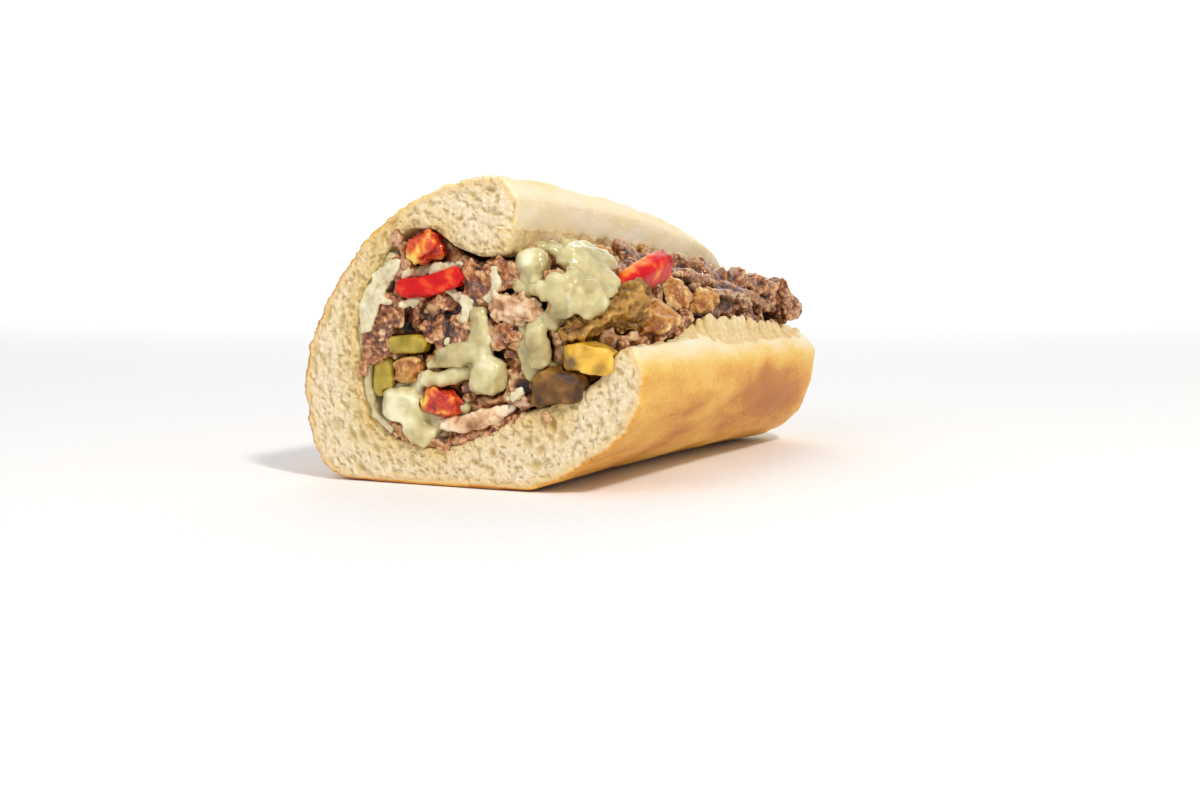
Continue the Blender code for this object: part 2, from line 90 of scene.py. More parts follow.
# The bread's cut face, and how far the toppings and the meat may stand out from it
CUT_X = -75.0 * MM
PROUDEST_X = CAD_BOX[0][0]
MEAT_FRONT = PROUDEST_X + 1.1 * MM
# The closed end: its tip, where it starts to round off, and the height of the roll's axis
FAR_X = CAD_BOX[1][0]
END_STARTS = 62.0 * MM
AXIS_Z = 30.0 * MM
# Ways out of the filling, and where the camera looks
OUT_OF_CUT = Vector((-1.0, 0.0, 0.0))
OUT_OF_MOUTH = Vector((0.0, -0.63, 0.78))
CAMERA_TARGET = Vector((1.0, -1.4, 16.1)) * MM
# What each point of the bread keeps: depth under the crust, browning, depth of its pore or crease (painted
# shade in the crumb's colour), and juice soaked in
BREAD_LAYERS = ("rind", "bake", "hollow", "soak")


def linear(code):
    """Linear RGBA of an sRGB hex colour."""
    channels = [int(code[k:k + 2], 16) / 255 for k in (1, 3, 5)]
    return (*[c / 12.92 if c <= 0.04045 else ((c + 0.055) / 1.055) ** 2.4 for c in channels], 1.0)


def smooth_step(low, high, value):
    """A share that rises softly from 0 at low to 1 at high."""
    t = min(1.0, max(0.0, (value - low) / (high - low)))
    return t * t * (3 - 2 * t)


# Materials

def add(tree, kind, settings=None, links=None):
    """Adds a shader node. Settings are its own values or its sockets', links are its sockets' sources."""
    node = tree.nodes.new(kind)
    for key, value in (settings or {}).items():
        if isinstance(key, str) and hasattr(node, key):
            setattr(node, key, value)
        else:
            node.inputs[key].default_value = value
    for key, source in (links or {}).items():
        tree.links.new(source, node.inputs[key])
    return node


def attribute(tree, name):
    """A value that the mesh keeps at each of its points."""
    return add(tree, "ShaderNodeAttribute", {"attribute_name": name}).outputs["Fac"]


def mottle(tree, place, scale, detail, roughness):
    """Noise from 0 to 1, with a scale in swirls per metre."""
    settings = {"Scale": scale, "Detail": detail, "Roughness": roughness}
    return add(tree, "ShaderNodeTexNoise", settings, {"Vector": place}).outputs["Fac"]


def raised(tree, base, value, factor):
    """The base plus the value times a factor."""
    settings = {"operation": "MULTIPLY_ADD", 1: factor}
    return add(tree, "ShaderNodeMath", settings, {0: value, 2: base}).outputs[0]


def remapped(tree, value, low, high, first=0.0, last=1.0, curve="LINEAR"):
    """A value carried from the span low to high to the span first to last, and held at its ends."""
    spans = {"From Min": low, "From Max": high, "To Min": first, "To Max": last}
    node = add(tree, "ShaderNodeMapRange", {"interpolation_type": curve, **spans}, {"Value": value})
    return node.outputs[0]


def ramp(tree, value, stops):
    """Colours along a value. Each stop is a position and an sRGB code."""
    node = add(tree, "ShaderNodeValToRGB", links={"Fac": value})
    elements = node.color_ramp.elements
    elements.remove(elements[1])
    elements[0].position = stops[0][0]
    elements[0].color = linear(stops[0][1])
    for position, code in stops[1:]:
        elements.new(position).color = linear(code)
    return node.outputs[0]


def blended(tree, share, colour, other, way="MIX"):
    """A colour that gives way to another by a share. Each is a socket or an sRGB code."""
    node = add(tree, "ShaderNodeMix", {"data_type": "RGBA", "blend_type": way}, {0: share})
    for index, source in ((6, colour), (7, other)):
        if isinstance(source, str):
            node.inputs[index].default_value = linear(source)
        else:
            tree.links.new(source, node.inputs[index])
    return node.outputs[2]


def emboss(tree, shader, height, strength, depth):
    """Raises a shader's surface by a height from 0 to 1, up to a depth."""
    bump = add(tree, "ShaderNodeBump", {"Strength": strength, "Distance": depth}, {"Height": height})
    tree.links.new(bump.outputs[0], shader.inputs["Normal"])


def new_material(name, **finish):
    """A material with one Principled shader, and its place in the piece's own space."""
    material = bpy.data.materials.new(name)
    material.use_nodes = True
    tree = material.node_tree
    shader = tree.nodes["Principled BSDF"]
    for key, value in finish.items():
        shader.inputs[key.replace("_", " ").title().replace("Ior", "IOR")].default_value = value
    place = add(tree, "ShaderNodeTexCoord").outputs["Object"]
    return material, tree, shader, place


def crust_colour(tree, place, bake):
    """The oven's browning, dappled by flour and steam.

    The dapples are blotches about 6 mm across, drawn out along the roll, and specks about 0.8 mm across.
    """
    drawn_out = {"operation": "MULTIPLY", 1: (0.4, 1.0, 1.0)}
    along = add(tree, "ShaderNodeVectorMath", drawn_out, {0: place}).outputs[0]
    blotched = raised(tree, bake, mottle(tree, along, 160.0, 4.0, 0.6), 0.5)
    specked = raised(tree, blotched, mottle(tree, place, 1250.0, 3.0, 0.7), 0.34)
    crust = ramp(tree, specked, (
        (0.30, "#f6ebcf"), (0.48, "#f4dfae"), (0.62, "#f2ce79"),
        (0.78, "#ecb955"), (0.92, "#dc9a3e"), (1.0, "#cb8131"),
    ))
    return blended(tree, remapped(tree, specked, 1.0, 1.4), crust, "#a85f25")


def crumb_colour(tree, place, rind, hollow, soak):
    """Cream walls, with painted shade making them warmer and darker down in the pores and creases, and
    greener where juice has soaked in.
    """
    walls = settings_hex(bpy.context.scene.sandwich.crumb_colour)
    wall = ramp(tree, mottle(tree, place, 800.0, 5.0, 0.75), (
        (0.30, "#d2bc8c"), (0.42, "#e0cca2"), (0.54, walls), (0.68, "#f8efdc"),
    ))
    # Painted shade: the hollow share darkens the crumb towards #c4ab70 in its pores and creases.
    pore_shaded = blended(tree, hollow, wall, "#c4ab70")
    soaked = blended(tree, soak, pore_shaded, "#f3e8c4", "MULTIPLY")
    # For about 3 mm under the crust the crumb is denser and yellower.
    return blended(tree, remapped(tree, rind, 0.25, 0.7, 0.55, 0.0), soaked, "#e3bd77")


def baked_bread():
    """Wheat bread, proved and baked: a thin browned crust over an open, cream-white crumb.

    The crust is dry and faintly satin. The crumb is matt, and light bleeds a few millimetres through it, so
    the shade painted into its pores is warm rather than grey.
    """
    material, tree, shader, place = new_material(
        "baked wheat bread", subsurface_weight=0.12, subsurface_scale=0.0015, ior=1.4
    )
    shader.inputs["Subsurface Radius"].default_value = (1.0, 0.7, 0.4)
    rind, bake, hollow, soak = [attribute(tree, name) for name in BREAD_LAYERS]

    # The crust is about a millimetre thick, with a ragged inner edge.
    ragged = raised(tree, rind, mottle(tree, place, 420.0, 4.0, 0.65), 0.24)
    inside = remapped(tree, ragged, 0.21, 0.37, curve="SMOOTHSTEP")
    crust = crust_colour(tree, place, bake)
    crumb = crumb_colour(tree, place, rind, hollow, soak)
    tree.links.new(blended(tree, inside, crust, crumb), shader.inputs["Base Color"])
    rough = add(tree, "ShaderNodeMix", {2: 0.52, 3: 0.9}, {0: inside})
    tree.links.new(rough.outputs[0], shader.inputs["Roughness"])

    # Crust skin is dimpled at about 1 mm. Crumb is a froth of cells a little smaller.
    dimple = mottle(tree, place, 1000.0, 4.0, 0.65)
    froth = add(tree, "ShaderNodeTexVoronoi", {"feature": "SMOOTH_F1", "Scale": 1100.0}, {"Vector": place})
    relief = add(tree, "ShaderNodeMix", links={0: inside, 2: dimple, 3: froth.outputs["Distance"]})
    emboss(tree, shader, relief.outputs[0], 0.6, 0.4 * MM)
    return material


def settings_hex(colour):
    """The sRGB hex code of a linear colour property."""
    channels = [12.92 * c if c <= 0.0031308 else 1.055 * c ** (1 / 2.4) - 0.055 for c in colour[:3]]
    return "#" + "".join(f"{round(255 * min(1.0, max(0.0, c))):02x}" for c in channels)


def griddled_steak():
    """Beef, chopped and turned on a hot griddle: grey-brown grains, painted shade in the crevices, painted
    highlights on the ridges, fat and juice on them.

    A film of fat and water gives small sharp highlights over rough meat, and sauce clouds it here and there.
    """
    material, tree, shader, place = new_material(
        "griddled steak", coat_weight=0.7, coat_roughness=0.07, ior=1.42, subsurface_weight=0.08,
        subsurface_scale=0.001,
    )
    # Browning changes over about 3 mm.
    patch = mottle(tree, place, 330.0, 4.0, 0.65)
    # Painted shade and highlights: by the relief attribute both ramps run dark in crevices and pale on
    # ridges.
    height = raised(tree, attribute(tree, "relief"), patch, 0.6)
    browning_and_shade = ramp(tree, height, (
        (0.20, "#170602"), (0.42, "#4c210b"), (0.62, "#874921"), (0.82, "#bf7f4a"), (1.0, "#f2cb98"),
    ))
    warm = ramp(tree, height, ((0.20, "#240b03"), (0.42, "#672f0f"), (0.68, "#af6833"), (1.0, "#efb97f")))
    colour = blended(tree, attribute(tree, "tone"), browning_and_shade, warm)
    # Sauce clings in patches about 8 mm across.
    cloud = mottle(tree, place, 125.0, 5.0, 0.6)
    film = remapped(tree, cloud, 0.56, 0.72, 0.0, 0.6, "SMOOTHSTEP")
    tree.links.new(blended(tree, film, colour, "#dfc6ad"), shader.inputs["Base Color"])
    tree.links.new(remapped(tree, patch, 0.3, 0.7, 0.2, 0.45), shader.inputs["Roughness"])
    # Fibres and grains are about 0.5 mm thick.
    emboss(tree, shader, mottle(tree, place, 1900.0, 3.0, 0.7), 1.0, 0.6 * MM)
    return material


def soft_food(name, stops, blotch_mm, grain_mm, grain_height_mm, radius=(1.0, 0.8, 0.5), **finish):
    """A moist food whose colour runs through the stops in blotches of a given size, over a fine grain.

    Recesses, which the piece keeps in its relief attribute, take the darker first stops and ridges the
    lighter last: painted shade.
    """
    material, tree, shader, place = new_material(name, **finish)
    shader.inputs["Subsurface Radius"].default_value = radius
    blotch = mottle(tree, place, 1 / (blotch_mm * MM), 4.0, 0.55)
    # Painted shade: low relief darkens the colour, over the blotches' own colour.
    height = raised(tree, attribute(tree, "relief"), blotch, 0.9)
    colour = ramp(tree, remapped(tree, height, 0.3, 1.25), stops)
    tree.links.new(colour, shader.inputs["Base Color"])
    emboss(tree, shader, mottle(tree, place, 1 / (grain_mm * MM), 3.0, 0.6), 0.6, grain_height_mm * MM)
    return material


def melted_cheese():
    """Mild white cheese, melted and setting again: smooth, fatty, a little translucent, green-cream."""
    return soft_food(
        "melted provolone", ((0.0, "#9c8a54"), (0.35, "#c0b17c"), (0.65, "#d3c893"), (1.0, "#efe8c2")),
        9.0, 0.9, 0.10, roughness=0.24, subsurface_weight=0.4, subsurface_scale=0.004, coat_weight=0.5,
        coat_roughness=0.1, ior=1.45,
    )


def mayonnaise():
    """Egg and oil emulsion, smeared and warmed: cream-white, opaque and softly glossy."""
    return soft_food(
        "warm mayonnaise", ((0.0, "#bfae7e"), (0.4, "#dccfa6"), (1.0, "#f4ecd2")),
        4.0, 0.7, 0.15, roughness=0.35, subsurface_weight=0.3, subsurface_scale=0.002, coat_weight=0.15,
        ior=1.47,
    )


def red_pepper():
    """Sweet red pepper, cut into strips: taut glossy red skin over orange-red flesh."""
    return soft_food(
        "cut red pepper", (
            (0.0, "#8c080a"), (0.35, "#c40e14"), (0.62, "#d61a1c"), (0.8, "#e85a22"), (1.0, "#f08f3a"),
        ),
        6.0, 1.2, 0.10, (1.0, 0.25, 0.1), roughness=0.34, subsurface_weight=0.12, subsurface_scale=0.002,
        coat_weight=0.1, coat_roughness=0.08, ior=1.33, specular_ior_level=0.35,
    )


def hot_pepper():
    """Pickled hot pepper, crushed: red skin, orange flesh and yellow seeds in oil."""
    return soft_food(
        "crushed hot pepper", (
            (0.0, "#6d0f07"), (0.38, "#b5210f"), (0.62, "#d64a19"), (0.82, "#ec922c"), (1.0, "#f4cf5e"),
        ),
        2.2, 0.6, 0.3, (1.0, 0.3, 0.1), roughness=0.28, subsurface_weight=0.2, subsurface_scale=0.002,
        coat_weight=0.45, coat_roughness=0.1, ior=1.42,
    )


def green_pepper():
    """Sweet green pepper, softened on the griddle: olive-green skin over yellow-green flesh."""
    return soft_food(
        "softened green pepper", ((0.0, "#7d6a14"), (0.4, "#a78e26"), (0.75, "#c2a83e"), (1.0, "#dccb78")),
        5.0, 0.9, 0.15, (0.7, 1.0, 0.3), roughness=0.25, subsurface_weight=0.25, subsurface_scale=0.003,
        coat_weight=0.4, coat_roughness=0.1, ior=1.4,
    )


def cooked_pepper():
    """Green pepper cooked until it is olive-brown and see-through, wet with oil."""
    return soft_food(
        "cooked olive pepper", (
            (0.0, "#452a08"), (0.3, "#6e4412"), (0.55, "#946a24"), (0.8, "#b98c3e"), (1.0, "#e2c070"),
        ),
        5.0, 0.5, 0.35, (1.0, 0.7, 0.2), roughness=0.28, subsurface_weight=0.3, subsurface_scale=0.003,
        coat_weight=0.3, coat_roughness=0.08, ior=1.36,
    )


def yellow_pepper():
    """Yellow pepper, softened: amber skin that turns olive at one end, wet with oil."""
    return soft_food(
        "softened yellow pepper", ((0.0, "#7c5c1c"), (0.3, "#cc9a2c"), (0.55, "#efbc40"), (1.0, "#f9da74")),
        8.0, 0.9, 0.15, (1.0, 0.7, 0.2), roughness=0.22, subsurface_weight=0.25, subsurface_scale=0.003,
        coat_weight=0.5, coat_roughness=0.08, ior=1.4,
    )


def fried_onion():
    """Onion fried in butter: amber, see-through layers, with painted shade darker down between their ridges.
    """
    return soft_food(
        "fried onion", ((0.0, "#7a4316"), (0.35, "#a8682a"), (0.65, "#c98f44"), (1.0, "#ecca8c")),
        4.0, 0.7, 0.3, (1.0, 0.8, 0.4), roughness=0.26, subsurface_weight=0.3, subsurface_scale=0.003,
        coat_weight=0.4, coat_roughness=0.12, ior=1.4,
    )


def sauced_meat():
    """Crumbled meat turned in warm sauce: a pale pink-tan coat, brown in blotches where the meat shows
    through, and painted shade in its crevices.
    """
    return soft_food(
        "meat in sauce", ((0.0, "#8a5836"), (0.3, "#c9976c"), (0.6, "#e8c59c"), (1.0, "#fae8cc")),
        2.5, 0.7, 0.4, roughness=0.4, subsurface_weight=0.25, subsurface_scale=0.002, coat_weight=0.2,
        ior=1.45,
    )


# Meshes

def to_object(bm, name, material, slot, *nodes):
    """Makes a smooth-shaded piece of a bmesh. It rides on the sandwich and may stand for CAD nodes."""
    mesh = bpy.data.meshes.new(name)
    bm.to_mesh(mesh)
    bm.free()
    mesh.materials.append(material)
    mesh.polygons.foreach_set("use_smooth", [True] * len(mesh.polygons))
    obj = bpy.data.objects.new(name, mesh)
    bpy.context.scene.collection.objects.link(obj)
    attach(obj, "root")
    if nodes:
        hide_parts(*nodes)
    return obj


def merged_copy(node):
    """A bmesh of a CAD node with its loose triangles joined."""
    bm = bmesh.new()
    bm.from_mesh(frame["nodes"][node].data)
    bmesh.ops.remove_doubles(bm, verts=bm.verts, dist=0.001 * MM)
    return bm


def even_skin(bm, cell):
    """The same solid under an even skin of square cells, with its creases rounded."""
    mesh = bpy.data.meshes.new("rough")
    bm.to_mesh(mesh)
    bm.free()
    obj = bpy.data.objects.new("rough", mesh)
    bpy.context.scene.collection.objects.link(obj)
    modifier = obj.modifiers.new("even skin", "REMESH")
    modifier.mode = "VOXEL"
    modifier.voxel_size = cell
    graph = bpy.context.evaluated_depsgraph_get()
    skinned = bmesh.new()
    skinned.from_mesh(obj.evaluated_get(graph).to_mesh())
    bpy.data.objects.remove(obj)
    bpy.data.meshes.remove(mesh)
    return skinned


def relax(bm, verts):
    """Draws vertices half-way towards the middle of their neighbours."""
    bmesh.ops.smooth_vert(bm, verts=verts, factor=0.5, use_axis_x=True, use_axis_y=True, use_axis_z=True)


def tree_of(*objects):
    """One search tree over several meshes."""
    places, faces = [], []
    for obj in objects:
        first = len(places)
        places += [vert.co.copy() for vert in obj.data.vertices]
        faces += [[first + index for index in polygon.vertices] for polygon in obj.data.polygons]
    return BVHTree.FromPolygons(places, faces)


# Lumps and dents of a piece of meat
LUMP_SIZE = 4.2 * MM
DENT_SIZE = 2.0 * MM


@functools.lru_cache
def ball(subdivisions):
    """Directions to the corners of a round ball, and its faces."""
    bm = bmesh.new()
    bmesh.ops.create_icosphere(bm, subdivisions=subdivisions, radius=1.0)
    bm.verts.index_update()
    rays = [vert.co.normalized() for vert in bm.verts]
    faces = [[vert.index for vert in face.verts] for face in bm.faces]
    bm.free()
    return rays, faces


def pile(heap, places, faces):
    """Adds one closed shape to a heap, which is a list of places and a list of faces."""
    first = len(heap[0])
    heap[0].extend(places)
    heap[1].extend([first + index for index in face] for face in faces)


def heap_mesh(heap, bm):
    """Adds a heap's shapes to a bmesh."""
    mesh = bpy.data.meshes.new("heap")
    mesh.from_pydata(heap[0], [], heap[1])
    bm.from_mesh(mesh)
    bpy.data.meshes.remove(mesh)
    return bm


def lumpy_ball(heap, centre, size, turn, rng, bend=0.0):
    """Adds a rough ball drawn out to a size and squared off. The bend curls its ends towards its own -Z."""
    seed = Vector((rng.uniform(0, 90), rng.uniform(0, 90), rng.uniform(0, 90)))
    squareness = rng.uniform(2.1, 3.0)
    rays, faces = ball(3)
    places = []
    for ray in rays:
        reach = sum(abs(share) ** squareness for share in ray) ** (-1 / squareness)
        local = Vector((ray.x * size.x, ray.y * size.y, ray.z * size.z)) * reach / 2
        lump = 0.5 * noise.noise(local / LUMP_SIZE + seed)
        local *= 1 + lump + 0.3 * noise.noise(local / DENT_SIZE + seed)
        local.z -= bend * (2 * local.x / size.x) ** 2
        places.append(centre + turn @ local)
    pile(heap, places, faces)


def facing(normal, spin):
    """A turn that lays a piece's Z along the normal and spins it about that."""
    return normal.to_track_quat("Z", "X") @ Quaternion((0, 0, 1), spin)


# The roll

# Heights of the two lips at the cut
LOW_LIP = 36.4 * MM
HIGH_LIP = 65.3 * MM
# How far the lower lip comes down along the roll. The upper one comes down by about half of its own value.
LOW_LIP_DROP = 3.2 * MM
HIGH_LIP_DROP = 28.3 * MM
# How far the crust's torn edge along the lips strays
TORN_EDGE = 1.5 * MM
# Depth at which the rind attribute is 1
RIND_DEPTH = 5 * MM

# The brownest patch of the near side, in millimetres along and up the roll, and its reach each way
BROWN_X, BROWN_Z = 22, 17
BROWN_LENGTH, BROWN_HEIGHT = 26, 8

# Middle of the rings that the crumb's bubbles follow on the cut face, and the radius of a usual ring
CRUMB_Y = 2 * MM
CRUMB_Z = 34 * MM
CRUMB_RADIUS = 38 * MM


def lips(x):
    """Heights of the lower and the upper lip's crust edge at station x."""
    share = (x - CUT_X) / (FAR_X - CUT_X)
    low = LOW_LIP - LOW_LIP_DROP * smooth_step(-35 * MM, 0.0, x)
    high = HIGH_LIP - HIGH_LIP_DROP * (0.16 * share + 0.36 * share**3)
    return low, high


def below_crust(place, roll):
    """How far inside the outer crust a place on the roll is. The open mouth and the cavity count as deep."""
    low, high = lips(place.x)
    torn = TORN_EDGE * noise.fractal(Vector((place.x * 130, 2.0, 4.0)), 0.7, 2.0, 3)
    inside_lips = min(place.z - low + torn, high - place.z + torn)
    if place.y < -8 * MM and inside_lips > 0 and place.x < END_STARTS + 4 * MM:
        return min(RIND_DEPTH, 1.6 * inside_lips)
    if place.x > END_STARTS:
        return 0.0
    axis = Vector((max(place.x, CUT_X + 1.5 * MM), 0.0, AXIS_Z))
    outward = Vector((0.0, place.y, place.z - AXIS_Z)).normalized()
    hit = roll.ray_cast(axis + outward * 0.12, -outward)[0]
    if hit is None:
        return RIND_DEPTH
    return math.hypot(hit.y - place.y, hit.z - place.z)


def browning(place):
    """How dark the oven has left the crust, from 0 for pale to 1 for brown."""
    z = place.z / MM
    x = place.x / MM
    low = lips(place.x)[0] / MM
    if place.y < 0 and z < low + 2:
        brown = 0.06 + 0.38 * smooth_step(low + 1, low - 9, z) - 0.06 * smooth_step(9, 2, z)
        brown += 0.36 * math.exp(-((x - BROWN_X) / BROWN_LENGTH) ** 2 - ((z - BROWN_Z) / BROWN_HEIGHT) ** 2)
        brown -= 0.16 * smooth_step(44, 70, x)
    elif place.y < 0:
        brown = 0.1 * smooth_step(-9, 2, place.y / MM)
    else:
        brown = 0.14 + 0.34 * smooth_step(5, 40, place.y / MM)
    brown += 0.3 * smooth_step(0.8, 0.2, z)
    along = Vector((0.4 * place.x, place.y, place.z))
    return brown + 0.12 * noise.noise(along * 45) + 0.08 * noise.noise(along * 120)


def pore(u, v, seed, cell, largest):
    """Depth share of a bubble in the crumb at (u, v), for bubbles strewn one to a cell."""
    distances, centres = noise.voronoi(Vector((u / cell, v / cell, seed)))
    chance = noise.cell(centres[0] * 7.3)
    radius = largest * (0.35 + 0.65 * abs(chance)) / cell
    return 1 - smooth_step(0.15 * radius, radius, distances[0])


def crumb_pores(place):
    """Depth share of the bubbles cut open on the cut face. They are drawn out along the crust."""
    y = place.y - CRUMB_Y
    z = place.z - CRUMB_Z
    across = math.hypot(y, z) + 0.7 * MM * noise.noise(place * 500)
    round_about = math.atan2(z, y) * CRUMB_RADIUS + 0.9 * MM * noise.noise(place * 400 + Vector((3, 5, 7)))
    coarse = pore(across, round_about / 1.7, 0.3, 4.6 * MM, 2.0 * MM)
    middle = pore(across, round_about / 1.5, 5.7, 2.4 * MM, 1.2 * MM)
    web = noise.fractal(Vector((across, round_about / 1.8, 0)) / (1.6 * MM), 0.6, 2.1, 3)
    return max(coarse, 0.7 * middle, 0.6 * smooth_step(0.1, 0.6, web))


def bread_point(place, normal, roll, filling):
    """How far a point of the bread moves along its normal, and its value in each bread layer."""
    depth = below_crust(place, roll)
    on_cut = smooth_step(CUT_X + 2.5 * MM, CUT_X + 0.8 * MM, place.x) * smooth_step(0.3, 0.8, -normal.x)
    crumb = smooth_step(0.9 * MM, 1.8 * MM, depth)
    near = filling.find_nearest(place, 14 * MM)[3]
    soak = 1 - smooth_step(0.5 * MM, 9 * MM, near) if near is not None else 0.0
    hollow = 0.0
    move = 0.0
    if on_cut > 0 and crumb > 0:
        # The pores sink the crumb, and their depth also darkens its colour as painted shade.
        hollow = crumb_pores(place) * crumb * on_cut
        move -= 1.0 * MM * hollow
        move += 0.3 * MM * noise.noise(place * 260) * crumb
    if crumb < 1:
        skin = 0.16 * MM * noise.noise(place * 420) + 0.22 * MM * noise.noise(place * 140)
        ragged = 0.6 * MM * noise.fractal(place * 210, 0.5, 2.3, 4)
        ragged *= smooth_step(CUT_X + 3 * MM, CUT_X, place.x)
        move += (skin + ragged) * (1 - crumb) * smooth_step(0.2 * MM, 2 * MM, place.z)
    if crumb > 0.5 and on_cut < 0.5:
        wrinkle = noise.fractal(Vector((place.x * 300, place.y * 40, place.z * 60)), 0.5, 2.0, 2)
        torn = noise.fractal(place * 260, 0.7, 2.0, 2)
        move += (0.9 * MM * wrinkle + 0.25 * MM * torn) * smooth_step(-4 * MM, -12 * MM, place.y)
        # The troughs of the wrinkles darken the crumb's colour: painted shade in the creases.
        hollow = max(0.0, -0.15 - wrinkle) * 1.2
    return move, min(1.0, depth / RIND_DEPTH), browning(place), hollow, soak


def on_fold(place):
    """True on the torn ridge of crumb behind the lower lip."""
    low = lips(place.x)[0]
    return place.y < -36 * MM and low - 1 * MM < place.z < low + 16 * MM and -62 * MM < place.x < 60 * MM


def roll_skin():
    """The CAD roll under an even, softened skin, finer on its cut face and on its fold."""
    cell = bpy.context.scene.sandwich.bread_cell
    bm = even_skin(merged_copy("roll"), cell * (1.0))
    for _ in range(2):
        relax(bm, [vert for vert in bm.verts if vert.co.x > CUT_X + 1.6 * MM])
    for _ in range(2):
        face = [edge for edge in bm.edges if all(vert.co.x < CUT_X + 0.9 * MM for vert in edge.verts)]
        bmesh.ops.subdivide_edges(bm, edges=face, cuts=1, use_grid_fill=True)
    folds = [edge for edge in bm.edges if all(on_fold(vert.co) for vert in edge.verts)]
    bmesh.ops.subdivide_edges(bm, edges=folds, cuts=1, use_grid_fill=True)
    bm.normal_update()
    return bm


def dress_roll():
    """The roll: its even skin, sculpted into crust and crumb."""
    roll = tree_of(frame["nodes"]["roll"])
    filling = tree_of(frame["nodes"]["steak"], frame["nodes"]["mayonnaise_lining"])
    bm = roll_skin()
    layers = [bm.verts.layers.float.new(name) for name in BREAD_LAYERS]
    moves = []
    for vert in bm.verts:
        move, *values = bread_point(vert.co, vert.normal, roll, filling)
        moves.append(vert.normal * move)
        for layer, value in zip(layers, values):
            vert[layer] = value
    low, high = CAD_BOX
    for vert, move in zip(bm.verts, moves):
        vert.co += move
        vert.co.z = max(0.0, vert.co.z)
        vert.co.y = min(high[1], max(low[1], vert.co.y))
        vert.co.x = min(high[0], vert.co.x)
    to_object(bm, "bread", baked_bread(), "crust", "roll")


# The steak

# Nodes that are spread through the sandwich rather than set on the filling
SPREAD = ("steak", "roll", "mayonnaise_lining")

# Least and most length, width and thickness of each kind of piece, in millimetres
CHUNK_SPANS = ((9.0, 15.0), (7.0, 10.5), (5.0, 8.0))
CRUMB_SPANS = ((3.0, 5.0), (2.4, 3.6), (2.0, 3.0))
SHRED_SPANS = ((9.0, 15.0), (3.4, 5.0), (2.8, 3.8))
SHRED_SPACING = 13.0 * MM

# Chunks and crumbs nearer to the cut face than this go into the mesh of the cut
CUT_SHARE = 9 * MM

# Grains of the meat, the crumble between them, and the depth of crevice that counts as deep
GRAIN_SIZE = 1.7 * MM
CRUMBLE_SIZE = 0.9 * MM
CREVICE = 0.7 * MM
CREVICE_ROUNDS = 28

# Strands of meat laid one by one, from start to end, with a width, in millimetres: along the cut's lower
# edge
EDGE_STRANDS = (
    ((-72, 25, 16.5), (-72, 18, 12.0), 5.0),
    ((-73, 16, 11.4), (-73, 7, 10.4), 5.0),
    ((-73, 5, 11.4), (-73, -5, 14.0), 4.6),
    ((-73, -7, 15.0), (-73, -14, 18.4), 4.2),
    ((-71, 29.5, 29), (-71, 28.5, 21), 3.6),
)
# and along the mouth, where they lean on the fold and end in a knob
END_STRANDS = (
    ((-14, -31, 54), (12, -33.5, 50), 4.2),
    ((10, -34, 50.5), (44, -36.5, 44), 4.6),
    ((2, -36.5, 48.5), (24, -38, 45.5), 3.6),
    ((42, -31.5, 48.5), (46, -33, 49.5), 9.0),
    ((50, -34, 46), (55, -35, 44.5), 9.5),
    ((57, -35.5, 43.5), (61, -36, 41), 7.5),
)


def looks_out(place, normal, solids):
    """True where nothing stands between a place on the filling and the open air."""
    start = place + normal * 0.6 * MM
    between = (OUT_OF_CUT + OUT_OF_MOUTH).normalized()
    for way in (OUT_OF_CUT, OUT_OF_MOUTH, between, Vector((-0.8, -0.5, 0.3))):
        if normal.dot(way) > 0.15 and solids.ray_cast(start, way, 90 * MM)[0] is None:
            return True
    return False


def strewn_spots(spacing, tries, rng, margin):
    """Places over the heap's visible skin, a spacing apart, with normals and distances to roll and toppings.

    From none of them would a piece that reaches out by the margin hide a topping.
    """
    mesh = frame["nodes"]["steak"].data
    solids = tree_of(*frame["nodes"].values())
    set_on_filling = [node for name, node in frame["nodes"].items() if name not in SPREAD]
    toppings = tree_of(*set_on_filling)
    neighbours = tree_of(frame["nodes"]["roll"], *set_on_filling)
    polygons = list(mesh.polygons)
    weights = []
    for polygon in polygons:
        shown = max(polygon.normal.dot(OUT_OF_CUT), polygon.normal.dot(OUT_OF_MOUTH))
        weights.append(polygon.area * max(0.0, shown))
    spots = []
    for polygon in rng.choices(polygons, weights, k=tries):
        a, b, c = (mesh.vertices[index].co for index in polygon.vertices[:3])
        u, v = sorted((rng.random(), rng.random()))
        place = a * u + b * (v - u) + c * (1 - v)
        if any((place - other[0]).length < spacing for other in spots):
            continue
        if looks_out(place, polygon.normal, solids) and not hides_topping(place, margin, toppings):
            spots.append((place, polygon.normal.copy(), neighbours.find_nearest(place)[3]))
    return spots


def hides_topping(place, radius, toppings):
    """True where a chunk would stand between the viewpoint and a topping."""
    back, eye = viewpoint()
    across = Vector((0, 0, 1)).cross(back).normalized()
    up = back.cross(across)
    for side, rise in ((0, 0), (1, 0), (-1, 0), (0, 1), (0, -1)):
        aim = place + (across * side + up * rise) * radius
        if toppings.ray_cast(aim, (aim - eye).normalized(), 25 * MM)[0] is not None:
            return True
    return False


def give_way(bm, toppings):
    """Pushes a skin back wherever it stands close in front of a topping, as seen from the viewpoint."""
    eye = viewpoint()[1]
    for vert in bm.verts:
        way = (vert.co - eye).normalized()
        hit = toppings.ray_cast(vert.co, way, 12 * MM)[0]
        if hit is not None:
            vert.co = hit + way * 1.5 * MM


def add_meat(heap, place, normal, size, rng, bend=0.0):
    """A piece of meat that lies on the heap, leaning and turned at random."""
    lean = Vector([rng.uniform(-0.4, 0.4) for _ in range(3)])
    turn = facing((normal + lean).normalized(), rng.uniform(0, math.tau))
    lumpy_ball(heap, place, size, turn, rng, bend)


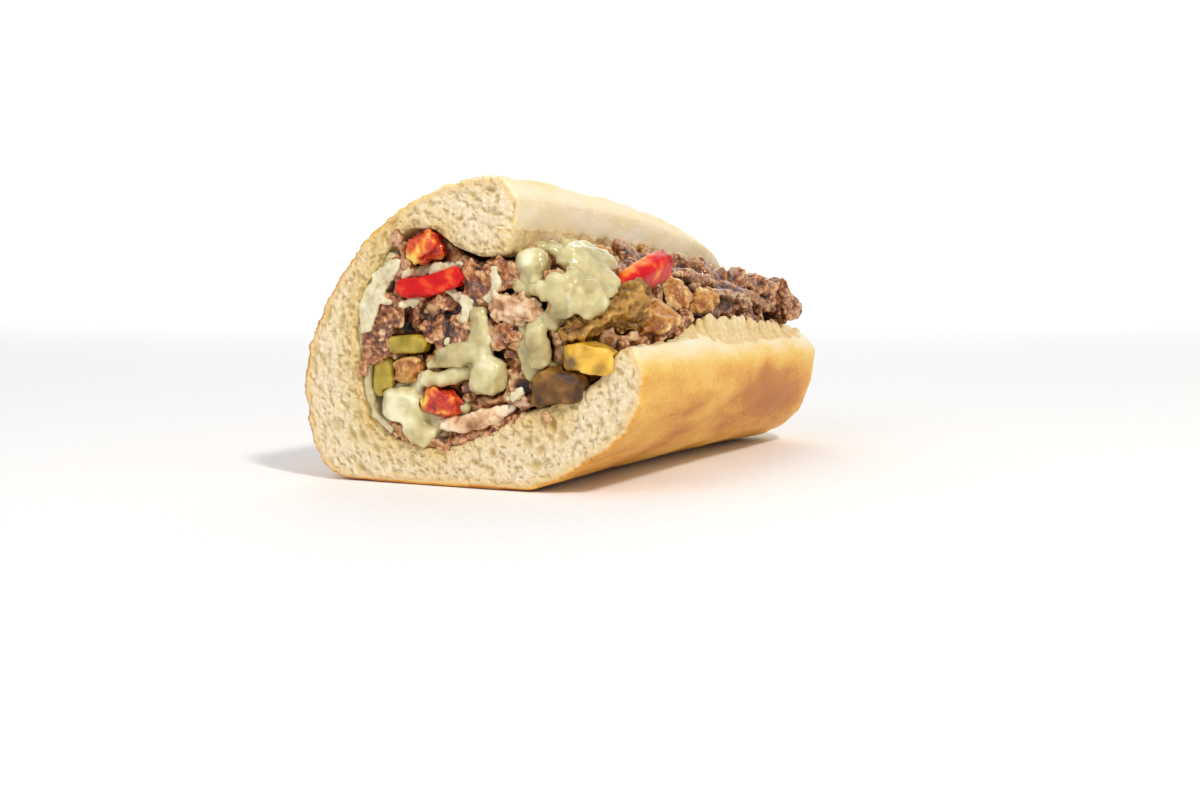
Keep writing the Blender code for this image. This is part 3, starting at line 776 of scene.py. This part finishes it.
def random_size(spans, rng):
    """A size drawn from spans of length, width and thickness in millimetres."""
    return Vector([rng.uniform(*span) for span in spans]) * MM


def lay_strand(heap, start, end, width, rng):
    """A strand or knob of meat laid from one place to another."""
    turn = (end - start).to_track_quat("X", "Z")
    size = Vector(((end - start).length + width, width, 0.8 * width))
    lumpy_ball(heap, (start + end) / 2, size, turn, rng, 0.2 * width)


def ridges(bm, rounds):
    """How far each vertex stands out from its neighbourhood: above 0 on ridges, below 0 in crevices."""
    places = [vert.co.copy() for vert in bm.verts]
    for _ in range(rounds):
        relax(bm, bm.verts)
    heights = []
    for vert, place in zip(bm.verts, places):
        heights.append((place - vert.co).dot(vert.normal))
        vert.co = place
    return heights


def meat_skin(bm, cell, name, material, *nodes):
    """Fuses lumps of meat under one moist skin, with grains and finer crumble between them.

    The relief attribute is low in crevices and high on ridges, and the steak's colour paints shade and
    highlights by it. The tone attribute tells browner beef from warmer beef.
    """
    bm = even_skin(bm, cell * (1.0))
    relax(bm, bm.verts)
    bm.normal_update()
    relief = bm.verts.layers.float.new("relief")
    tone = bm.verts.layers.float.new("tone")
    for vert, height in zip(bm.verts, ridges(bm, CREVICE_ROUNDS)):
        near, second = noise.voronoi(vert.co / GRAIN_SIZE)[0][:2]
        grain = smooth_step(0.0, 0.45, second - near) - 0.6
        crumble = noise.fractal(vert.co / CRUMBLE_SIZE, 0.6, 2.1, 3)
        stands_out = min(0.8, max(-1.0, height / CREVICE))
        vert[relief] = 0.25 + 0.5 * stands_out + 0.25 * grain + 0.35 * crumble
        vert[tone] = smooth_step(-0.4, 0.3, noise.noise(vert.co / (9 * MM)))
        vert.co += vert.normal * (0.28 * grain + 0.26 * crumble) * MM
        too_proud = MEAT_FRONT + 1 * MM - vert.co.x
        if too_proud > 0:
            vert.co.x = MEAT_FRONT + math.exp(-too_proud / MM) * MM
    return to_object(bm, name, material, "steak", *nodes)


def dress_steak_core(material):
    """The heart of the heap, just inside the CAD solid, set back behind every topping."""
    core = even_skin(merged_copy("steak"), 1.0 * MM)
    core.normal_update()
    for vert in core.verts:
        vert.co -= vert.normal * 0.4 * MM
    give_way(core, tree_of(*[node for name, node in frame["nodes"].items() if name not in SPREAD]))
    meat_skin(core, 1.2 * MM, "steak_core", material, "steak")


def dress_steak():
    """The chopped steak: a core, with chunks, crumbs and shreds strewn over it."""
    settings = bpy.context.scene.sandwich
    rng = random.Random(settings.seed)
    material = griddled_steak()
    dress_steak_core(material)
    on_cut, in_mouth, shreds = ([], []), ([], []), ([], [])
    for place, normal, gap in strewn_spots(settings.chunk_spacing, 9000, rng, 3.0 * MM):
        size = random_size(CHUNK_SPANS, rng)
        size *= 0.35 + 0.65 * smooth_step(1 * MM, 5 * MM, gap)
        heap = on_cut if place.x < CUT_X + CUT_SHARE else in_mouth
        add_meat(heap, place - normal * 0.16 * size.z, normal, size, rng)
    for place, normal, _ in strewn_spots(settings.crumb_spacing, 4000, rng, 1.8 * MM):
        heap = on_cut if place.x < CUT_X + CUT_SHARE else in_mouth
        add_meat(heap, place + normal * 0.3 * MM, normal, random_size(CRUMB_SPANS, rng), rng)
    for place, normal, gap in strewn_spots(SHRED_SPACING, 2500, rng, 3.5 * MM):
        size = random_size(SHRED_SPANS, rng)
        size.x *= 0.25 + 0.75 * smooth_step(1 * MM, 8 * MM, gap)
        add_meat(shreds, place + normal * 0.4 * MM, normal, size, rng, 1.2 * MM)
    for start, end, width in EDGE_STRANDS + END_STRANDS:
        lay_strand(shreds, Vector(start) * MM, Vector(end) * MM, width * MM, rng)
    heaps = {"steak_chunks_on_cut": on_cut, "steak_chunks_in_mouth": in_mouth, "steak_shreds": shreds}
    for name, heap in heaps.items():
        meat_skin(heap_mesh(heap, bmesh.new()), settings.meat_cell, name, material)


# Toppings

# Skin cells: of the peppers, cheese and sauced pieces, of the lining, of the onions, and of the smears
TOPPING_CELL = 0.45 * MM
LINING_CELL = 0.7 * MM
ONION_CELL = 0.4 * MM
SMEAR_CELL = 0.35 * MM

# Where a draped sheet feels for the surface round its aim: the middle and eight places about it
DRAPE_RAYS = (
    (0, 0), (1, 0), (-1, 0), (0, 1), (0, -1), (0.7, 0.7), (-0.7, 0.7), (0.7, -0.7), (-0.7, -0.7),
)

# Paths along which each cheese has melted: (y, z, half width) in millimetres, as seen on the cut plane
CHEESE_PATHS = {
    "cheese_on_corner": (
        ((-20, 60.5, 1.2), (-27, 60, 2.2), (-38, 58.5, 2.8)),
        ((-27.5, 57, 2.4), (-34, 56, 4.0), (-38, 52, 2.6)),
        ((-24.5, 53.5, 1.6), (-25.5, 47.5, 2.6)),
        ((-30.5, 52, 3.0), (-35, 50, 4.4), (-31, 46, 4.2)),
        ((-14.5, 50.8, 0.9), (-20, 49.2, 1.4), (-26, 49.5, 2.4)),
        ((-28, 45, 2.6), (-24, 42.5, 1.8), (-20.5, 41, 1.4)),
    ),
    "cheese_knob": (((-15.5, 58, 1.2), (-18.5, 57, 1.6), (-18.5, 53, 1.8), (-16, 51.5, 1.2)),),
    "cheese_column": (
        ((-14, 43.5, 1.2), (-18, 41.5, 2.2), (-18.5, 36, 2.6), (-18, 31, 2.8)),
        ((-20, 31, 2.4), (-25, 29.5, 1.6)),
        ((-21, 42, 1.6), (-24.5, 43, 1.2)),
    ),
    "cheese_middle": (
        ((-3.8, 44, 1.5), (-3.5, 37, 1.8), (-5, 35.3, 2.0)),
        ((8.5, 31.5, 1.6), (3, 33.5, 2.0), (-5, 35.3, 2.0)),
        ((-4.5, 30.5, 2.8), (-6.3, 26, 2.6)),
    ),
    "cheese_low": (
        ((20, 22, 2.2), (14, 26, 2.0), (6, 27.3, 1.6), (0, 29, 1.0)),
        ((16, 17, 2.4), (8, 15.8, 1.8), (1.5, 17.2, 1.4), (-0.5, 21, 1.0)),
        ((15, 14.5, 3.0), (10.5, 13.5, 2.0)),
    ),
}

# Paths of the larger smears of mayonnaise, in the same terms
SMEAR_PATHS = (
    ((19, 45.6, 0.8), (14.5, 46, 1.2)), ((5, 49.5, 0.9), (-1, 46, 1.3), (0.5, 42, 0.8)),
    ((18, 53.2, 0.8), (10, 54.6, 1.3), (1, 55.4, 1.0)),
    ((-8, 55, 0.8), (-9, 51, 1.2), (-6, 47, 0.8)),
    ((20, 56.5, 1.2), (24.5, 52, 2.6), (28.5, 45, 2.6), (29.5, 39, 1.4)),
    ((-12, 22.5, 0.8), (-16, 25, 0.8)),
)

# Directions across the pleats of each onion
ONION_PLEATS = {
    "onion_on_cut": (0, 0.3, 1),
    "onion_in_mouth": (1, 0.2, -0.6),
    "onion_on_lip": (1, 0.4, -0.2),
    "onion_on_fold": (1, 0.2, 0.5),
    "onion_under_flap": (0.2, 1, 0),
}


def dressed(node, name, material, slot, cell, rule, rounds=2):
    """A topping made from its CAD node: an even skin, smoothed, then moved by a rule of place and normal."""
    bm = even_skin(merged_copy(node), cell)
    finish_topping(bm, name, material, slot, rule, rounds, node)


def finish_topping(bm, name, material, slot, rule, rounds, *nodes):
    """Smooths a skin, moves each point along its normal by the rule, and makes a piece of it."""
    for _ in range(rounds):
        relax(bm, bm.verts)
    bm.normal_update()
    relief = bm.verts.layers.float.new("relief")
    for vert in bm.verts:
        move, height = rule(vert.co, vert.normal)
        vert.co += vert.normal * move
        vert.co.x = max(vert.co.x, PROUDEST_X)
        vert[relief] = height
    return to_object(bm, name, material, slot, *nodes)


def stains_and_painted_light(rule, *colour_shifts):
    """A rule whose relief, and so its colour, shifts near places: (y, z, radius in millimetres, shift). Some
    shifts are the food's own colour, others painted highlights and shade.
    """
    def shifted_rule(place, normal):
        move, height = rule(place, normal)
        for y, z, radius, shift in colour_shifts:
            distance = math.hypot(place.y / MM - y, place.z / MM - z)
            height += shift * math.exp(-(distance / radius) ** 2)
        return move, height
    return shifted_rule


def lumpy(amount, size):
    """A rule that swells a skin by noise of a given size, and calls its hollows low relief, which takes
    painted shade.
    """
    def rule(place, normal):
        height = noise.fractal(place / size, 0.7, 2.0, 3)
        return amount * height, 0.3 + 0.35 * height
    return rule


def pleated(amount, pitch, across):
    """A rule that folds a skin into sharp pleats across a direction, as onion and soft pepper are. Its
    troughs get low relief, which takes painted shade.
    """
    across = across.normalized()
    def rule(place, normal):
        drift = noise.fractal(place / (4 * MM), 0.6, 2.0, 3)
        step = place.dot(across) / pitch + 0.45 * drift
        crest = 2 * abs(step - math.floor(step + 0.5))
        return amount * (crest - 0.7) + 0.2 * MM * drift, 0.18 + 0.4 * crest + 0.25 * drift
    return rule


def viewpoint():
    """Direction back towards the photograph's camera, and the camera's place."""
    settings = bpy.context.scene.sandwich
    azimuth, elevation = settings.azimuth, settings.elevation
    back = Vector((
        math.sin(azimuth) * math.cos(elevation),
        -math.cos(azimuth) * math.cos(elevation),
        math.sin(elevation),
    ))
    return back, CAMERA_TARGET + back * settings.camera_distance


def draped_depth(surface, eye, aim, bridge):
    """How far from the eye a sheet hangs over a surface in line with the aim. It bridges narrow gaps."""
    depths = []
    for dy, dz in DRAPE_RAYS:
        way = (aim + Vector((0, dy, dz)) * bridge - eye).normalized()
        distance = surface.ray_cast(eye, way)[3]
        if distance is not None:
            depths.append(distance)
    return sum(sorted(depths)[:3]) / 3 if len(depths) > 4 else None


def surface_bead(surface, eye, y, z, bead, sink):
    """Place of a bead that lies on the surface where (y, z) on the cut plane is seen, or None."""
    aim = Vector((CUT_X, y, z))
    depth = draped_depth(surface, eye, aim, 1.3 * bead)
    if depth is None:
        return None
    place = eye + (aim - eye).normalized() * (depth + sink * bead)
    place.x = max(place.x, PROUDEST_X + 0.9 * bead)
    return place


def melt_over(heap, surface, path, bead, rng, sink=0.25):
    """Heaps beads over a surface along a path of (y, z, half width) in millimetres on the cut plane.

    They lie where the path is seen from the viewpoint, so a path may run on round the corner into the mouth.
    """
    eye = viewpoint()[1]
    rays, faces = ball(2)
    for (y0, z0, w0), (y1, z1, w1) in zip(path, path[1:]):
        area = (math.hypot(y1 - y0, z1 - z0) + (w0 + w1) / 2) * (w0 + w1) * MM * MM
        for _ in range(max(4, int(1.7 * area / bead**2))):
            t = rng.random()
            turn = rng.uniform(0, math.tau)
            reach = (w0 + (w1 - w0) * t) * math.sqrt(rng.random())
            y = y0 + (y1 - y0) * t + reach * math.cos(turn)
            z = z0 + (z1 - z0) * t + reach * math.sin(turn)
            place = surface_bead(surface, eye, y * MM, z * MM, bead, sink)
            if place is not None:
                pile(heap, [place + ray * bead for ray in rays], faces)


def dress_cheese(surface):
    """The melted cheese: its CAD patches, let down over the meat round them."""
    settings = bpy.context.scene.sandwich
    rng = random.Random(settings.seed + 1)
    material = melted_cheese()
    for node, paths in CHEESE_PATHS.items():
        heap = ([], [])
        for path in paths:
            melt_over(heap, surface, path, settings.cheese_bead, rng)
        bm = even_skin(heap_mesh(heap, merged_copy(node)), TOPPING_CELL)
        # The spot at (-17.5, 57) is a painted highlight on the knob; the other spots lighten or darken the
        # cheese.
        rule = stains_and_painted_light(
            lumpy(0.3 * MM, 5 * MM), (17, 21, 7, 0.4), (-17.5, 57, 2, 0.7), (-13.5, 54.5, 2, -0.5),
            (-21.5, 55, 2, -0.5), (-21, 36, 7, -0.2),
        )
        finish_topping(bm, node + "_melted", material, "cheese", rule, 6, node)


def dress_peppers():
    """Peppers: red strips, crushed hot pepper, green bars, and olive and yellow pieces cooked soft."""
    red, hot, green = red_pepper(), hot_pepper(), green_pepper()
    olive, yellow = cooked_pepper(), yellow_pepper()
    cell = TOPPING_CELL
    skin = lumpy(0.15 * MM, 4 * MM)
    dressed("red_pepper_on_cut", "red_strip_on_cut", red, "red_pepper", cell, skin, 2)
    dressed("red_pepper_in_mouth", "red_strip_in_mouth", red, "red_pepper", cell,
            stains_and_painted_light(skin, (-35, 55.5, 3.0, 0.5)), 1)
    dressed("hot_pepper_top", "hot_pepper_piece", hot, "hot_pepper", cell,
            stains_and_painted_light(lumpy(0.8 * MM, 3.4 * MM), (14.5, 56.5, 2.5, 0.6), (12, 60, 1.8, 0.35)), 1)
    dressed("relish_low", "relish_piece", hot, "hot_pepper", cell,
            stains_and_painted_light(lumpy(0.8 * MM, 2.6 * MM), (11.5, 21.5, 1.8, 0.6)), 1)
    dressed("green_pepper_bar", "green_bar", green, "green_pepper", cell, skin, 2)
    dressed("green_pepper_upright", "green_sliver", green, "green_pepper", cell, skin, 1)
    dressed("cooked_pepper_low", "olive_piece_low", olive, "cooked_pepper", cell,
            stains_and_painted_light(lumpy(0.4 * MM, 5 * MM), (-26, 26, 9, -0.25)), 1)
    dressed("cooked_pepper_long", "olive_piece_long", olive, "cooked_pepper", cell,
            pleated(2.0 * MM, 8.0 * MM, Vector((0.7, 0.2, -0.6))), 0)
    dressed("yellow_pepper", "yellow_piece", yellow, "yellow_pepper", cell,
            stains_and_painted_light(lumpy(0.4 * MM, 5 * MM), (-28.5, 32, 3.5, -0.4)), 1)


def dress_onions():
    """Fried onion: see-through pieces with their layers showing as ridges."""
    material = fried_onion()
    for node, across in ONION_PLEATS.items():
        rule = pleated(1.2 * MM, 5.5 * MM, Vector(across))
        dressed(node, node + "_fried", material, "onion", ONION_CELL, rule, 0)


def dress_sauce(surface):
    """The lining, the sauced pieces and the smears of mayonnaise between the pieces of meat."""
    settings = bpy.context.scene.sandwich
    rng = random.Random(settings.seed + 2)
    white = mayonnaise()
    coated = sauced_meat()
    # The spot at (30, 38) darkens the lining over the back of the cavity: painted shade.
    dressed("mayonnaise_lining", "lining_smear", white, "mayonnaise", LINING_CELL,
            stains_and_painted_light(lumpy(0.5 * MM, 5 * MM), (30, 38, 22, -0.55)), 2)
    dressed("sauced_chunk", "sauced_piece", coated, "sauced", TOPPING_CELL, lumpy(1.5 * MM, 2.6 * MM), 1)
    dressed("sauced_crescent", "sauced_slice", coated, "sauced", TOPPING_CELL,
            stains_and_painted_light(lumpy(0.6 * MM, 3.0 * MM), (7, 13.5, 4, 0.5), (-13, 19, 5, 0.5), (-3, 16, 3, -0.3)), 1)
    smears = ([], [])
    for path in SMEAR_PATHS:
        melt_over(smears, surface, path, settings.smear_bead, rng, 0.5)
    for _ in range(settings.smears):
        y, z = rng.uniform(-36, 24), rng.uniform(16, 56)
        turn, length = rng.uniform(0, math.tau), rng.uniform(1.0, 4.0)
        path = ((y, z, 0.5), (y + length * math.cos(turn), z + length * math.sin(turn), 0.4))
        melt_over(smears, surface, path, settings.smear_bead, rng, 0.7)
    bm = even_skin(heap_mesh(smears, bmesh.new()), SMEAR_CELL)
    finish_topping(bm, "mayonnaise_smears", white, "mayonnaise", lumpy(0.15 * MM, 1.5 * MM), 2)


# The stage

# The paper sweep: how far it reaches to the front, where it bends up, the bend, and its height and width
SWEEP_FRONT = -6.0
SWEEP_BEND_STARTS = 2.2
SWEEP_RADIUS = 1.2
SWEEP_TOP = 4.0
SWEEP_WIDTH = 10.0
SWEEP_TURN = math.radians(25)
PAPER_GAP = 0.3 * MM


def studio_paper():
    """Matt studio paper, with a faint tooth about 2 mm across."""
    material, tree, shader, place = new_material("studio paper", roughness=0.9)
    tooth = mottle(tree, place, 500.0, 2.0, 0.5)
    tree.links.new(blended(tree, tooth, "#f4f3f1", "#ffffff"), shader.inputs["Base Color"])
    return material


def area_light(name, place, target, size, power, colour):
    """A round soft light that points at a target."""
    data = bpy.data.lights.new(name, "AREA")
    data.shape = "DISK"
    data.size = size
    data.energy = power
    data.color = linear(colour)[:3]
    lamp = bpy.data.objects.new(name, data)
    lamp.location = place
    lamp.rotation_euler = (Vector(place) - Vector(target)).to_track_quat("Z", "Y").to_euler()
    bpy.context.scene.collection.objects.link(lamp)


def lay_paper():
    """A sweep of white paper, flat under the sandwich and bent up behind it."""
    bm = bmesh.new()
    outline = [(SWEEP_FRONT, -PAPER_GAP), (SWEEP_BEND_STARTS, -PAPER_GAP)]
    for step in range(1, 13):
        angle = math.radians(7.5 * step)
        out = SWEEP_BEND_STARTS + SWEEP_RADIUS * math.sin(angle)
        outline.append((out, SWEEP_RADIUS * (1 - math.cos(angle))))
    outline.append((SWEEP_BEND_STARTS + SWEEP_RADIUS, SWEEP_TOP))
    line = [bm.verts.new((x, 0.0, z)) for x, z in outline]
    edges = [bm.edges.new(pair) for pair in zip(line, line[1:])]
    swept = bmesh.ops.extrude_edge_only(bm, edges=edges)
    moved = [item for item in swept["geom"] if isinstance(item, bmesh.types.BMVert)]
    bmesh.ops.translate(bm, verts=moved, vec=(0.0, SWEEP_WIDTH, 0.0))
    bmesh.ops.translate(bm, verts=bm.verts, vec=(0.0, -SWEEP_WIDTH / 2, 0.0))
    bmesh.ops.rotate(bm, verts=bm.verts, matrix=Matrix.Rotation(SWEEP_TURN, 3, "Z"))
    bmesh.ops.recalc_face_normals(bm, faces=bm.faces)
    mesh = bpy.data.meshes.new("paper_sweep")
    bm.to_mesh(mesh)
    bm.free()
    mesh.materials.append(studio_paper())
    mesh.polygons.foreach_set("use_smooth", [True] * len(mesh.polygons))
    sweep = bpy.data.objects.new("paper_sweep", mesh)
    bpy.context.scene.collection.objects.link(sweep)


def light_stage():
    """A key light high on the left, a soft fill, a light on the paper behind, and even light all round."""
    area_light("key_light", (-0.60, -0.85, 0.95), (-0.02, -0.01, 0.04), 0.16, 10.5, "#fffaf2")
    area_light("fill_light", (-1.0, 0.25, 0.6), (0.0, 0.0, 0.03), 0.8, 3.2, "#f6f8ff")
    area_light("backdrop_light", (1.6, 0.75, 2.4), (3.1, 1.45, 1.0), 1.5, 60.0, "#ffffff")
    world = bpy.data.worlds.new("studio air")
    world.use_nodes = True
    world.node_tree.nodes["Background"].inputs["Color"].default_value = linear("#fbfcff")
    world.node_tree.nodes["Background"].inputs["Strength"].default_value = bpy.context.scene.sandwich.ambient
    bpy.context.scene.world = world
    bpy.context.scene.view_settings.view_transform = "Standard"


def set_camera():
    """The camera at the photograph's angle."""
    camera = bpy.data.objects.new("camera", bpy.data.cameras.new("camera"))
    camera.data.sensor_width = 36.0
    camera.data.lens = bpy.context.scene.sandwich.lens
    camera.data.clip_start = 0.01
    back, camera.location = viewpoint()
    camera.rotation_euler = back.to_track_quat("Z", "Y").to_euler()
    bpy.context.scene.collection.objects.link(camera)
    bpy.context.scene.camera = camera


# The add-on

def length(name, description, default, least):
    """A setting in metres."""
    return FloatProperty(
        name=name, description=description, default=default, min=least, subtype="DISTANCE", unit="LENGTH",
        precision=5,
    )


def angle(name, description, degrees):
    """A setting kept in radians and shown in degrees."""
    return FloatProperty(
        name=name, description=description, default=math.radians(degrees), subtype="ANGLE", unit="ROTATION"
    )


class SandwichSettings(bpy.types.PropertyGroup):
    """Sizes and colours of the sandwich that a user would change."""

    bread_cell: length("Bread cell", "Cell size of the roll's skin", 1.14 * MM, 0.5 * MM)
    meat_cell: length("Meat cell", "Cell size of the steak's skin", 0.55 * MM, 0.4 * MM)
    chunk_spacing: length("Chunk spacing", "Least distance between chunks of steak", 7.2 * MM, 3.0 * MM)
    crumb_spacing: length("Crumb spacing", "Least distance between crumbs of steak", 6.0 * MM, 3.0 * MM)
    cheese_bead: length("Cheese bead", "Half thickness of the melted cheese", 1.5 * MM, 0.6 * MM)
    smear_bead: length("Smear bead", "Half thickness of the mayonnaise smears", 0.65 * MM, 0.4 * MM)
    smears: IntProperty(name="Smears", description="Small stray smears of mayonnaise", default=12, min=0)
    seed: IntProperty(name="Seed", description="Seed of the scattered pieces", default=7)
    crumb_colour: FloatVectorProperty(
        name="Crumb", description="Colour of the crumb's walls", default=linear("#ead6b2")[:3],
        subtype="COLOR", min=0.0, max=1.0,
    )
    ambient: FloatProperty(
        name="Ambient", description="Strength of the studio's ambient light", default=0.5, min=0.0
    )
    lens: FloatProperty(
        name="Lens", description="Focal length of the camera in millimetres", default=46.8, min=10.0
    )
    azimuth: angle("Azimuth", "Camera's bearing from the open side", -65)
    elevation: angle("Elevation", "Camera's height above the horizon", 5)
    camera_distance: length("Camera distance", "Distance from the camera to the sandwich", 0.458, 0.1)


class SANDWICH_OT_roll(bpy.types.Operator):
    """Model the roll's crust and crumb"""

    bl_idname = "sandwich.roll"
    bl_label = "Roll"

    def execute(self, context):
        dress_roll()
        return {"FINISHED"}


class SANDWICH_OT_steak(bpy.types.Operator):
    """Strew the chopped steak over its core"""

    bl_idname = "sandwich.steak"
    bl_label = "Steak"

    def execute(self, context):
        dress_steak()
        return {"FINISHED"}


class SANDWICH_OT_cheese(bpy.types.Operator):
    """Melt the cheese over the meat"""

    bl_idname = "sandwich.cheese"
    bl_label = "Cheese"

    def execute(self, context):
        dress_cheese(meat_surface())
        return {"FINISHED"}


class SANDWICH_OT_peppers(bpy.types.Operator):
    """Model the red, hot, green, olive and yellow peppers"""

    bl_idname = "sandwich.peppers"
    bl_label = "Peppers"

    def execute(self, context):
        dress_peppers()
        return {"FINISHED"}


class SANDWICH_OT_onions(bpy.types.Operator):
    """Model the fried onion pieces"""

    bl_idname = "sandwich.onions"
    bl_label = "Onions"

    def execute(self, context):
        dress_onions()
        return {"FINISHED"}


class SANDWICH_OT_sauce(bpy.types.Operator):
    """Model the lining, the sauced pieces and the smears"""

    bl_idname = "sandwich.sauce"
    bl_label = "Sauce"

    def execute(self, context):
        dress_sauce(meat_surface("roll", "mayonnaise_lining"))
        return {"FINISHED"}


class SANDWICH_OT_stage(bpy.types.Operator):
    """Set up the paper sweep, the lights and the camera"""

    bl_idname = "sandwich.stage"
    bl_label = "Stage"

    def execute(self, context):
        lay_paper()
        light_stage()
        set_camera()
        return {"FINISHED"}


class SANDWICH_PT_panel(bpy.types.Panel):
    """The sandwich's settings and the pieces it is made of"""

    bl_label = "Sandwich"
    bl_idname = "SANDWICH_PT_panel"
    bl_space_type = "VIEW_3D"
    bl_region_type = "UI"
    bl_category = "Sandwich"

    def draw(self, context):
        for name in SandwichSettings.__annotations__:
            self.layout.prop(context.scene.sandwich, name)
        for operator in OPERATORS:
            self.layout.operator(operator.bl_idname)


OPERATORS = (
    SANDWICH_OT_roll,
    SANDWICH_OT_steak,
    SANDWICH_OT_peppers,
    SANDWICH_OT_onions,
    SANDWICH_OT_cheese,
    SANDWICH_OT_sauce,
    SANDWICH_OT_stage,
)


def meat_surface(*nodes):
    """Search tree over the strewn steak and the given CAD nodes."""
    meat = [obj for obj in bpy.context.scene.objects if obj.name.startswith("steak_")]
    if not meat:
        raise RuntimeError("strew the steak first")
    return tree_of(*meat, *[frame["nodes"][name] for name in nodes])


def register():
    for cls in (SandwichSettings, *OPERATORS, SANDWICH_PT_panel):
        bpy.utils.register_class(cls)
    bpy.types.Scene.sandwich = PointerProperty(type=SandwichSettings)


def unregister():
    del bpy.types.Scene.sandwich
    for cls in reversed((SandwichSettings, *OPERATORS, SANDWICH_PT_panel)):
        bpy.utils.unregister_class(cls)


def main():
    register()
    bpy.ops.sandwich.roll()
    bpy.ops.sandwich.steak()
    bpy.ops.sandwich.peppers()
    bpy.ops.sandwich.onions()
    bpy.ops.sandwich.cheese()
    bpy.ops.sandwich.sauce()
    bpy.ops.sandwich.stage()


if __name__ == "__main__":
    main()
